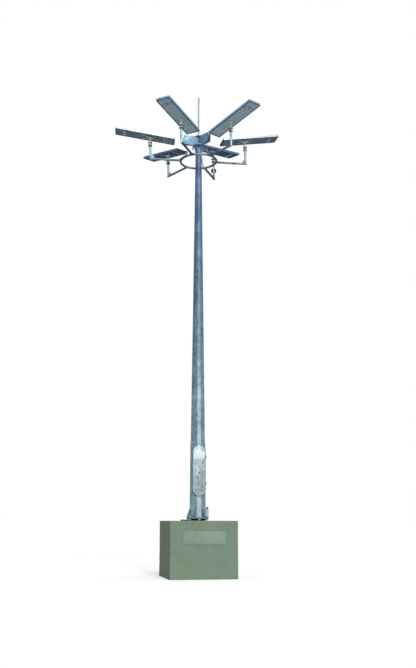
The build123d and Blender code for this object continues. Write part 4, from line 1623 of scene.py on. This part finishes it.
# ------------------------------------------------------------------ carriage
@dataclass
class Carriage:
    """Ring, lamp arms with mitred posts, gussets, welds and the junction box."""

    sides: int = 28
    ring_steps: int = 160
    run_steps: int = 12
    rise_steps: int = 8
    gusset: float = 0.110
    gusset_t: float = 0.008
    root: float = 0.085
    root_rise: float = 0.8
    box_lamp: int = 4
    box_r: float = 0.0775
    box_t: float = 0.056
    box_up: float = 0.268
    box_aside: float = 0.020
    screw: Profile = mm((5, 0), (5, 3), (4, 4))
    screw_in: float = 0.011
    gland: Profile = mm((8, 10), (8, 20), (6, 26))
    gland_nut: Point2 = (0.022, 0.012)

    def build(self) -> None:
        """Make the carriage."""
        self.ring()
        for number, spot in enumerate(RIG.lamps, start=1):
            self.arm(number, spot)
        self.welds()
        self.box()

    @property
    def turns(self) -> list[float]:
        """Angles round a tube, from its upper side."""
        return [tau * k / self.sides for k in range(self.sides)]

    def ring(self) -> None:
        """The rolled ring."""
        shape = Shape("ring_tube")
        line = lay(RIG.arm(0.0), ring_outline(RIG.ring_r, self.ring_steps), 0.0)
        shape.tube(line, RIG.tube_r - 0.0002, self.sides, loop=True)
        shape.done("ring_zinc", Body.CARRIAGE, "galvanised_steel", ("carriage_ring",))

    def bend(self, run: float, turn: float, top: float) -> Vector:
        """Point on an arm's skin: a run out to the mitre, then a rise.

        Args:
            run: distance out from the ring's centre before the mitre, or the post's axis past it.
            turn: angle round the tube, 0 on its upper or inner side.
            top: height above the centre line, 0 before the mitre.

        Returns:
            The point in the arm's frame.
        """
        up, across = RIG.tube_r * cos(turn), RIG.tube_r * sin(turn)
        if top:
            return Vector((RIG.post_r - up, across, top))
        return Vector((min(run, RIG.post_r - up), across, up))

    def arm(self, number: int, spot: LampSpot) -> None:
        """One arm: mitred tube, post gusset and two root gussets.

        Args:
            number: the arm's number.
            spot: its lamp's place and finishes.
        """
        shape, post = Shape(f"lamp_arm_{number}"), Shape(f"lamp_post_{number}")
        at, r, half = RIG.arm(spot.deg), RIG.tube_r, self.gusset_t / 2
        start, end, top = RIG.ring_r + r * 0.35, RIG.post_r + r, RIG.post_top + spot.lift
        run = [(start + (RIG.post_r - r - start) * k, 0.0) for k in [0] + shares(self.run_steps)]
        climb = [(RIG.post_r, r + 0.0005 + (top - r) * k) for k in [0] + shares(self.rise_steps)]
        for piece, stations in ((shape, run + [(end, 0.0)]), (post, [(end, 0.0)] + climb)):
            piece.loft([[at @ self.bend(reach, turn, z) for turn in self.turns] for reach, z in stations])
        post.done("arm_zinc", Body.CARRIAGE, "galvanised_steel")
        inner, low = RIG.post_r - r + 0.0015, r - 0.0015
        web = place(at.translation, at.col[0].xyz, -at.col[1].xyz) @ shift(z=-half)
        corners = ((inner - self.gusset, low), (inner, low), (inner, r + self.gusset))
        shape.plate(web, corners, 0.0, self.gusset_t)
        for way in BOTH:
            foot = RIG.ring_r + r
            root = ((foot - 0.003, way * (r - 0.003)), (foot + self.root, way * (r - 0.003)),
                    (foot - 0.010, way * (r + self.root * self.root_rise)))
            shape.plate(at @ shift(z=-half), root if way > 0 else root[::-1], 0.0, self.gusset_t)
        shape.done(spot.arm, Body.CARRIAGE, "galvanised_steel", (f"arm_{number}",))

    def welds(self) -> None:
        """Beads at every root, mitre and gusset of the carriage."""
        shape = Shape("carriage_welds")
        r = RIG.tube_r
        inner = RIG.post_r - r
        for spot in RIG.lamps:
            at = RIG.arm(spot.deg)
            saddle, mitre = [], []
            for turn in self.turns:
                up, across = r * cos(turn), r * sin(turn)
                reach = RIG.ring_r + (r * r - up * up) ** 0.5 - across * across
                saddle.append(at @ Vector((reach, across, up)))
                mitre.append(at @ Vector((RIG.post_r - up, across, up)))
            shape.bead(saddle, 0.0035, loop=True)
            shape.bead(mitre, 0.0030, loop=True)
            for way in BOTH:
                side = way * (self.gusset_t / 2 + 0.001)
                corners = ((inner - self.gusset, r), (inner, r), (inner, r + self.gusset))
                shape.bead([at @ Vector((reach, side, up)) for reach, up in corners], 0.0025)
        shape.done("weld", Body.CARRIAGE, "galvanised_steel")

    def box(self) -> None:
        """Round junction box with a screwed lid and a gland."""
        shape = Shape("junction_box_body")
        deg, r, t = RIG.lamps[self.box_lamp - 1].deg, self.box_r, self.box_t
        at = RIG.post(deg, self.box_up) @ shift(RIG.tube_r + 0.0005, self.box_aside) @ spin(pi / 2, "Y")
        shape.lathe(at, ((r - 0.006, 0), (r - 0.003, 0.003), (r - 0.002, t * 0.62), (r, t * 0.64),
                         (r, t * 0.84), (r - 0.004, t * 0.92), (r * 0.6, t * 0.985), (0.004, t)), 48)
        for x, y in ring_outline(r - self.screw_in, 4, pi / 4):
            shape.lathe(at @ shift(x, y, t * 0.90), self.screw, 14)
        gland = at @ spin(pi / 2, "Y") @ shift(-t * 0.35, 0, r - 0.004)
        shape.hexagon(gland, *self.gland_nut)
        shape.lathe(gland, self.gland, 18)
        shape.done("dark_fixing", Body.CARRIAGE, "dark_fixing", ("junction_box",))


# ------------------------------------------------------------------ lamps
@dataclass
class Lamps:
    """All-in-one solar lamps: frame, ribbed underside, sensors and cells."""

    inner: float = 0.673
    outer: float = 0.960
    width: float = 0.402
    thick: float = 0.058
    rim: float = 0.016
    fit: float = 0.0006
    corner: float = 0.012
    inner_corner: float = 0.0015
    profile: Profile = mm((0, 3), (0, 20), (2.5, 21.5), (2.5, 25.5), (0, 27), (0, 50), (0.5, 57.5),
                          (3, 58), (15, 58), (16, 57.2), (16, 54), (24, 53.5), (24, 5.5), (16, 5),
                          (16, 0.8), (15.2, 0), (3, 0))
    end_screw: Profile = mm((4.5, -2), (4.5, 0), (3, 0.4))
    end_screw_at: Point2 = (0.030, 0.029)
    shadow_gasket_in: Point2 = (0.002, 0.033)
    shadow_gasket_z: Point2 = (0.001, -0.0012)
    under: float = 0.005
    divider: float = 0.290
    rib: float = 0.0125
    fin: Profile = mm((-4.2, 0.6), (-3, 0.2), (3, 0.2), (4.2, 0.6), (4.8, 3), (5.8, 3))
    cover_screw: Profile = mm((4.2, -1), (4.2, 1.2), (3, 2))
    sensor: tuple[float, float, float] = (0.080, 0.270, 0.016)
    sensor_in: float = 0.250
    dome: Profile = mm((30, 0), (29.5, 1.6), (26, 3.4), (19, 5.4), (9.5, 6.7), (1, 7.1))
    panel: float = 0.004
    cells: tuple[int, int] = (16, 4)
    cell_margin: Point2 = (0.016, 0.012)
    cell_gap: float = 0.003
    busbar: Point2 = (0.0014, 0.0010)
    plugged: tuple[tuple[int, int], ...] = ((1, -1), (6, 1))
    plug: tuple[float, float, float] = (0.032, 0.032, 0.050)

    @property
    def middle(self) -> float:
        """Centre of the lamp along its length."""
        return (self.outer - self.inner) / 2

    @property
    def length(self) -> float:
        """Full length."""
        return self.outer + self.inner

    def build(self) -> None:
        """Make every lamp."""
        undersides = {kind: Shape(f"lamp_{kind.value}") for kind in Underside}
        sensors, domes = Shape("sensor_strips"), Shape("sensor_domes")
        cells, backing = Shape("solar_cells"), Shape("solar_backing")
        for number, spot in enumerate(RIG.lamps, start=1):
            at = RIG.lamp(spot)
            self.frame(number, spot.frame, at)
            self.underside(undersides[spot.underside], at)
            self.sensor_strip(sensors, domes, at)
            self.panel_cells(cells, backing, at)
        for kind, shape in undersides.items():
            shape.done(kind.value, Body.CARRIAGE, "lamp_underside", ("lamp_undersides",))
        sensors.done("sensor_strip", Body.CARRIAGE, "sensor_dome", ("sensors",))
        domes.done("sensor_lens", Body.CARRIAGE, "sensor_dome")
        cells.done("solar_cell", Body.CARRIAGE, "solar_glass", ("solar_panels",))
        backing.done("solar_backing", Body.CARRIAGE, "solar_glass")
        Fitters().build()
        self.corner_plugs()

    def line(self, inset: float) -> list[Point2]:
        """The frame's outline at an inset; past the outer corner's radius it has a sharper corner.

        Args:
            inset: distance in from the outer wall.

        Returns:
            The outline about the lamp's centre.
        """
        if inset < self.corner - 0.001:
            return shrink(rounded(self.length, self.width, self.corner), inset)
        return rounded(self.length - 2 * inset, self.width - 2 * inset, self.inner_corner)

    def frame(self, number: int, paint: str, at: Matrix) -> None:
        """Extruded frame with a grooved outer wall and end screws, and a dark strip and inner end cap that
        paint shade.

        Args:
            number: the lamp's number.
            paint: the frame's finish.
            at: the lamp's axes.
        """
        shape, shadow_gasket = Shape(f"lamp_frame_{number}"), Shape(f"lamp_shadow_gasket_{number}")
        self.surround(shape, at, [(self.line(inset), z) for inset, z in self.profile])
        aside, up = self.end_screw_at
        for end, x in ((1, self.outer), (-1, -self.inner)):
            for side in BOTH:
                cap = at @ shift(x - end * 0.0004, side * (self.width / 2 - aside), up)
                shape.lathe(cap @ spin(end * pi / 2, "Y"), self.end_screw, 12)
        shape.done(paint, Body.CARRIAGE, "lamp_frame", (f"lamp_{number}",))
        # a dark strip round the underside's edge and a dark cap on the inner end: painted shade
        outer, inner = self.shadow_gasket_in
        wall, hollow = self.line(outer), rounded(self.length - 2 * inner, self.width - 2 * inner, 0.003)
        top, low = self.shadow_gasket_z
        self.surround(shadow_gasket, at, ((wall, top), (wall, low), (hollow, low), (hollow, top)))
        cap = at @ shift(0.001 - self.inner, 0, self.thick / 2) @ spin(-pi / 2, "Y")
        shadow_gasket.plate(cap, rounded(self.thick - 0.003, self.width - 0.014, 0.004, 4), 0.0, 0.0032, 0.0008)
        shadow_gasket.done("frame_shadow", Body.CARRIAGE, "lamp_frame")

    def surround(self, shape: Shape, at: Matrix, section: Sequence[tuple[list[Point2], float]]) -> None:
        """Run a closed section round a lamp; each of its corners is an outline and a height."""
        lines = [lay(at @ shift(self.middle), outline, z) for outline, z in section]
        shape.loft(list(zip(*lines)), loop=True)

    def underside(self, shape: Shape, at: Matrix) -> None:
        """Ribbed heat-sink sheet, with a plain battery cover at the inner end.

        Args:
            shape: takes both.
            at: the lamp's axes.
        """
        half = self.width / 2 - self.rim - self.fit
        start, end = self.rim + self.fit - self.inner, self.outer - self.rim - self.fit
        split = self.divider - self.inner
        count = int(2 * half / self.rib)
        comb = [(-half, self.under)]
        for k in range(count):
            y = -half + (k + 0.5) * 2 * half / count
            comb += [(y + aside, z) for aside, z in self.fin]
        comb[-2:] = [(half, 0.0006), (half, self.under)]
        shape.loft([[at @ Vector((x, y, z)) for y, z in comb] for x in (split + 0.004, end)])
        cover = at @ shift((start + split) / 2 - 0.002, 0, 0.0004)
        shape.plate(cover, rounded(split - start - 0.004, 2 * half, 0.004, 4), 0.0, self.under - 0.0004)
        for x in (start + 0.020, split - 0.022):
            for side in BOTH:
                screw = at @ shift(x, side * (half - 0.014), 0.0006) @ FLIP
                shape.lathe(screw, self.cover_screw, 12)

    def sensor_strip(self, shape: Shape, domes: Shape, at: Matrix) -> None:
        """Rounded strip across the lamp with two domes.

        Args:
            shape: takes the strip.
            domes: takes the domes.
            at: the lamp's axes.
        """
        long, wide, deep = self.sensor
        base = at @ shift(self.outer - self.sensor_in) @ FLIP
        shape.plate(base, rounded(long, wide, 0.026, 6), -0.001, deep * 0.55, 0.0022)
        for side in BOTH:
            domes.lathe(base @ shift(0, side * wide * 0.26, deep * 0.5), self.dome, 28)

    def panel_cells(self, cells: Shape, backing: Shape, at: Matrix) -> None:
        """Backing sheet, cells in rows and their thin busbars.

        Args:
            cells: takes the cells.
            backing: takes the sheet and the busbars.
            at: the lamp's axes.
        """
        top = self.thick - self.panel
        long, wide = self.length - 2 * self.rim - 0.001, self.width - 2 * self.rim - 0.001
        backing.block(at @ shift(self.middle, 0, top), (long, wide, 0.0028), 0.0004)
        rows, across = self.cells
        span_x, span_y = long - self.cell_margin[0], wide - self.cell_margin[1]
        dx, dy = span_x / rows, span_y / across
        cell = rounded(dx - self.cell_gap, dy - self.cell_gap, 0.006, 2)
        for i in range(rows):
            for j in range(across):
                x, y = self.middle - span_x / 2 + (i + 0.5) * dx, -span_y / 2 + (j + 0.5) * dy
                cells.plate(at @ shift(x, y, top + 0.0026), cell, 0.0, 0.0010, 0.0002)
                for side in BOTH:
                    bar = at @ shift(x, y + side * dy / 4, top + 0.0030)
                    backing.block(bar, (dx - 0.004, *self.busbar), 0.0002)

    def corner_plugs(self) -> None:
        """A yellow drain plug at one outer corner of two lamps."""
        shape = Shape("corner_plugs")
        wide, deep, tall = self.plug
        for number, side in self.plugged:
            at = RIG.lamp(RIG.lamps[number - 1])
            corner = at @ shift(self.outer - 0.015, side * (self.width / 2 - 0.015), -0.0024)
            shape.plate(corner, rounded(wide, deep, 0.006, 4), 0.0, tall, 0.002)
        shape.done("yellow_plug", Body.CARRIAGE, "label_plate")


@dataclass
class Fitters:
    """Clamped cast fitter on each post, with a bolted plate, packing bars and the lamp's divider."""

    sides: int = 32
    collar: Profile = mm((40, 0), (47, 2), (47.5, 14), (45.5, 18), (45.5, 24), (47.5, 28), (47, 34),
                         (41, 38), (39.5, 60), (39.5, 110))
    flare: Point2 = (0.0400, 0.0520)
    flare_slope: float = 1.6
    seat_gap: float = 0.006
    plate: Point2 = (0.210, 0.120)
    plate_t: float = 0.008
    web: Profile = mm((34, 6), (70, 6), (36, 50))
    web_t: float = 0.006
    bolt_out: float = 0.082
    bar_aside: float = 0.083
    bar: tuple[float, float, float] = (0.100, 0.016, 0.008)
    divider: tuple[float, float, float] = (0.013, 0.010, 0.006)
    clamp: float = 0.100
    bore: float = 0.0302
    waist: float = 0.0360
    swell: float = 0.0385
    bands: Profile = mm((-104, 32), (-19, 15))
    band_edge: float = 0.0380
    band_r: float = 0.0425
    screws: int = 4
    screw_start: float = 0.6
    screw_level: float = 0.0115

    def build(self) -> None:
        """Make every fitter."""
        collars, bolts, bars = Shape("cast_fitters"), Shape("fitter_bolts"), Shape("fitter_bars")
        heads, sleeves, plates = Shape("plate_bolts"), Shape("clamp_sleeves"), Shape("fitter_plates")
        for spot in RIG.lamps:
            at = RIG.post(spot.deg, RIG.fitter_foot + RIG.collar_share * spot.lift)
            lamp = RIG.lamp(spot)
            self.cast(collars, at, lamp)
            self.bracket(plates, heads, lamp)
            self.packing(bars, lamp)
            self.sleeve(sleeves, at)
            self.clamps(bolts, at)
        heads.done("bright_zinc", Body.CARRIAGE, "bright_zinc")
        plates.done("fitter_plate", Body.CARRIAGE, "lamp_casting")
        sleeves.done("arm_zinc", Body.CARRIAGE, "galvanised_steel")
        collars.done("lamp_casting", Body.CARRIAGE, "lamp_casting", ("fitters",))
        bolts.done("dark_bolts", Body.CARRIAGE, "stud_steel")
        bars.done("bright_zinc", Body.CARRIAGE, "bright_zinc")

    def cast(self, shape: Shape, at: Matrix, lamp: Matrix) -> None:
        """Ribbed collar that flares to a top cut to the slope of its lamp.

        Args:
            shape: takes the collar.
            at: frame on the post at the fitter's foot.
            lamp: the lamp's axes.
        """
        normal, origin, axis = lamp.col[2].xyz, lamp @ rise(-self.seat_gap), at.col[2].xyz
        rings = [lay(at, ring_outline(r, self.sides), z) for r, z in self.collar]
        for r in self.flare:
            ring = []
            for base in lay(at, ring_outline(r, self.sides), 0.0):
                reach = (origin - base).dot(normal) / axis.dot(normal)
                ring.append(base + axis * (reach - (self.flare[1] - r) * self.flare_slope))
            rings.append(ring)
        shape.loft(rings)

    def bracket(self, plates: Shape, heads: Shape, lamp: Matrix) -> None:
        """Mounting plate with two bolts, and four webs between it and the collar.

        Args:
            plates: takes the plate and the webs.
            heads: takes the bolts.
            lamp: the lamp's axes.
        """
        under = lamp @ FLIP
        plates.plate(under, rounded(*self.plate, 0.020), 0.0, self.plate_t, 0.0015)
        for k in range(4):
            rib = lamp @ spin(k * pi / 2 + pi / 4, "Z")
            web = place(rib @ Vector((0, -self.web_t / 2, 0)), rib.col[0].xyz, rib.col[1].xyz)
            plates.plate(web, self.web, 0.0, self.web_t, 0.0008)
        for side in BOTH:
            heads.bolt(under @ shift(side * self.bolt_out, 0.0, self.plate_t), 0.026, 0.004)

    def packing(self, bars: Shape, lamp: Matrix) -> None:
        """Four packing bars beside the plate, and the strip between the battery cover and the heat sink.

        Args:
            bars: takes them.
            lamp: the lamp's axes.
        """
        for x, y in CORNERS:
            bars.block(lamp @ FLIP @ shift(2 * x * self.bolt_out, y * self.bar_aside), self.bar, 0.0015)
        long, margin, tall = self.divider
        strip = lamp @ shift(Lamps.divider - Lamps.inner, 0, -0.0020)
        bars.block(strip, (long, Lamps.width - 2 * Lamps.rim - margin, tall), 0.0008)

    def sleeve(self, shape: Shape, at: Matrix) -> None:
        """Split clamp under a fitter.

        Args:
            shape: takes the sleeve.
            at: frame on the post at the fitter's foot.
        """
        low, waist, swell = -self.clamp, self.waist, self.swell
        profile = ((self.bore, low), (0.0370, low + 0.001), (swell, low + 0.003), (swell, low + 0.020),
                   (waist, low + 0.023), (waist, -0.026), (swell, -0.023), (swell, 0.0), (self.bore, 0.001))
        shape.lathe(at, profile, 28, loop=True)

    def clamps(self, bolts: Shape, at: Matrix) -> None:
        """Two dark bands round the clamp and set screws at two levels.

        Args:
            bolts: takes them.
            at: frame on the post at the fitter's foot.
        """
        edge, r = self.band_edge, self.band_r
        for start, tall in self.bands:
            top = start + tall
            band = ((edge, start), (r, start + 0.0015), (r, top - 0.0015), (edge, top))
            bolts.lathe(at, band, 28, loop=True)
        for level in (self.screw_level - self.clamp, -self.screw_level):
            for k in range(self.screws):
                out = at @ shift(z=level) @ spin(tau * k / self.screws + self.screw_start, "Z")
                bolts.bolt(out @ spin(pi / 2, "Y") @ shift(z=0.0420), 0.024, 0.012)


# ------------------------------------------------------------------ studio
@dataclass
class Studio:
    """Pale floor, white surround and soft lamps."""

    floor_radius: float = 90.0
    ambient: float = 0.30
    key: float = 1.9
    key_bearing: float = 3.0
    key_height: float = 34.0
    key_spread: float = 22.0
    fill: float = 0.2
    fill_bearing: float = 70.0
    fill_height: float = 20.0
    fill_spread: float = 60.0

    def build(self) -> None:
        """Make the floor, the world and the lamps."""
        self.surround()
        self.floor()
        self.sun("key", self.key, self.key_bearing, self.key_height, self.key_spread)
        self.sun("fill", self.fill, self.fill_bearing, self.fill_height, self.fill_spread)

    def surround(self) -> None:
        """White where it is looked at, softer where it lights."""
        world = bpy.data.worlds.new("surround")
        bpy.context.scene.world = world
        g = Graph(world, "Background")
        g.shader.inputs["Color"].default_value = (1, 1, 1, 1)
        seen = g.add("LightPath", "Is Camera Ray", {})
        rays = seen.node.outputs
        for kind in ("Is Glossy Ray", "Is Transmission Ray"):
            seen = g.sums("MAXIMUM", seen, rays[kind])
        g.links.new(g.spread(seen, 0.0, 1.0, self.ambient, 1.0), g.shader.inputs["Strength"])

    def floor(self) -> None:
        """A pale disc that keeps the tower's shadow."""
        mesh = bpy.data.meshes.new("floor")
        shape = bmesh.new()
        bmesh.ops.create_circle(shape, cap_ends=True, radius=self.floor_radius, segments=96)
        shape.to_mesh(mesh)
        shape.free()
        disc = bpy.data.objects.new("floor", mesh)
        bpy.context.scene.collection.objects.link(disc)
        g = Graph(bpy.data.materials.new("floor_card"))
        seen = g.add("LightPath", "Is Camera Ray", {})
        level = g.total(g.spread(seen, 0.0, 1.0, 0.78, 0.86), (g.noise(0.8, 2), 0.04))
        grey = g.add("CombineColor", "Color", {"Red": level, "Green": level, "Blue": level})
        g.links.new(grey, g.shader.inputs["Base Color"])
        g.shader.inputs["Roughness"].default_value = 0.9
        g.shader.inputs["Emission Color"].default_value = (1, 1, 1, 1)
        g.links.new(g.spread(seen, 0.0, 1.0, 0.0, 0.40), g.shader.inputs["Emission Strength"])
        mesh.materials.append(g.owner)

    def sun(self, name: str, power: float, bearing: float, height: float, spread: float) -> None:
        """Add one soft sun.

        Args:
            name: its name.
            power: irradiance.
            bearing: degrees from the door's direction towards +X.
            height: degrees above the horizon.
            spread: angular size in degrees.
        """
        data = bpy.data.lights.new(name, "SUN")
        data.energy = power
        data.angle = radians(spread)
        lamp = bpy.data.objects.new(name, data)
        lamp.rotation_euler = (radians(90 - height), 0, radians(bearing))
        bpy.context.scene.collection.objects.link(lamp)


@dataclass
class Viewpoint:
    """A standing viewer's camera, level with the plinth's top and tipped up."""

    distance: float = 22.10
    eye_height: float = 1.370
    bearing: float = -11.07
    pitch: float = 12.21
    sidestep: float = 0.26
    lens: float = 46.5
    sensor: float = 36.0

    def build(self) -> None:
        """Make the camera the scene's own."""
        data = bpy.data.cameras.new("viewpoint")
        data.lens = self.lens
        data.sensor_width = self.sensor
        camera = bpy.data.objects.new("viewpoint", data)
        turn = radians(self.bearing)
        away = Vector((sin(turn), -cos(turn), 0.0))
        right = Vector((cos(turn), sin(turn), 0.0))
        camera.location = away * self.distance + right * self.sidestep + rise(self.eye_height)
        camera.rotation_euler = (radians(90 + self.pitch), 0.0, turn)
        bpy.context.scene.collection.objects.link(camera)
        bpy.context.scene.camera = camera


# ------------------------------------------------------------------ whole tower
def main() -> None:
    """Load the frame, dress it, and set the studio and camera."""
    logging.basicConfig(level=logging.INFO, format="%(name)s: %(message)s")
    noise.seed_set(SEED)
    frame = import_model()
    Shape.paints = Paints()
    for name, finish in NODE_FINISHES.items():
        Shape.paints.coat(frame["nodes"][name], finish)
    for assembly in (Plinth(), MastFoot(), Mast(), Door(), Head(), Ropes(), Carriage(), Lamps()):
        assembly.build()
    bpy.context.scene.view_settings.view_transform = "Standard"
    Studio().build()
    Viewpoint().build()


if __name__ == "__main__":
    main()
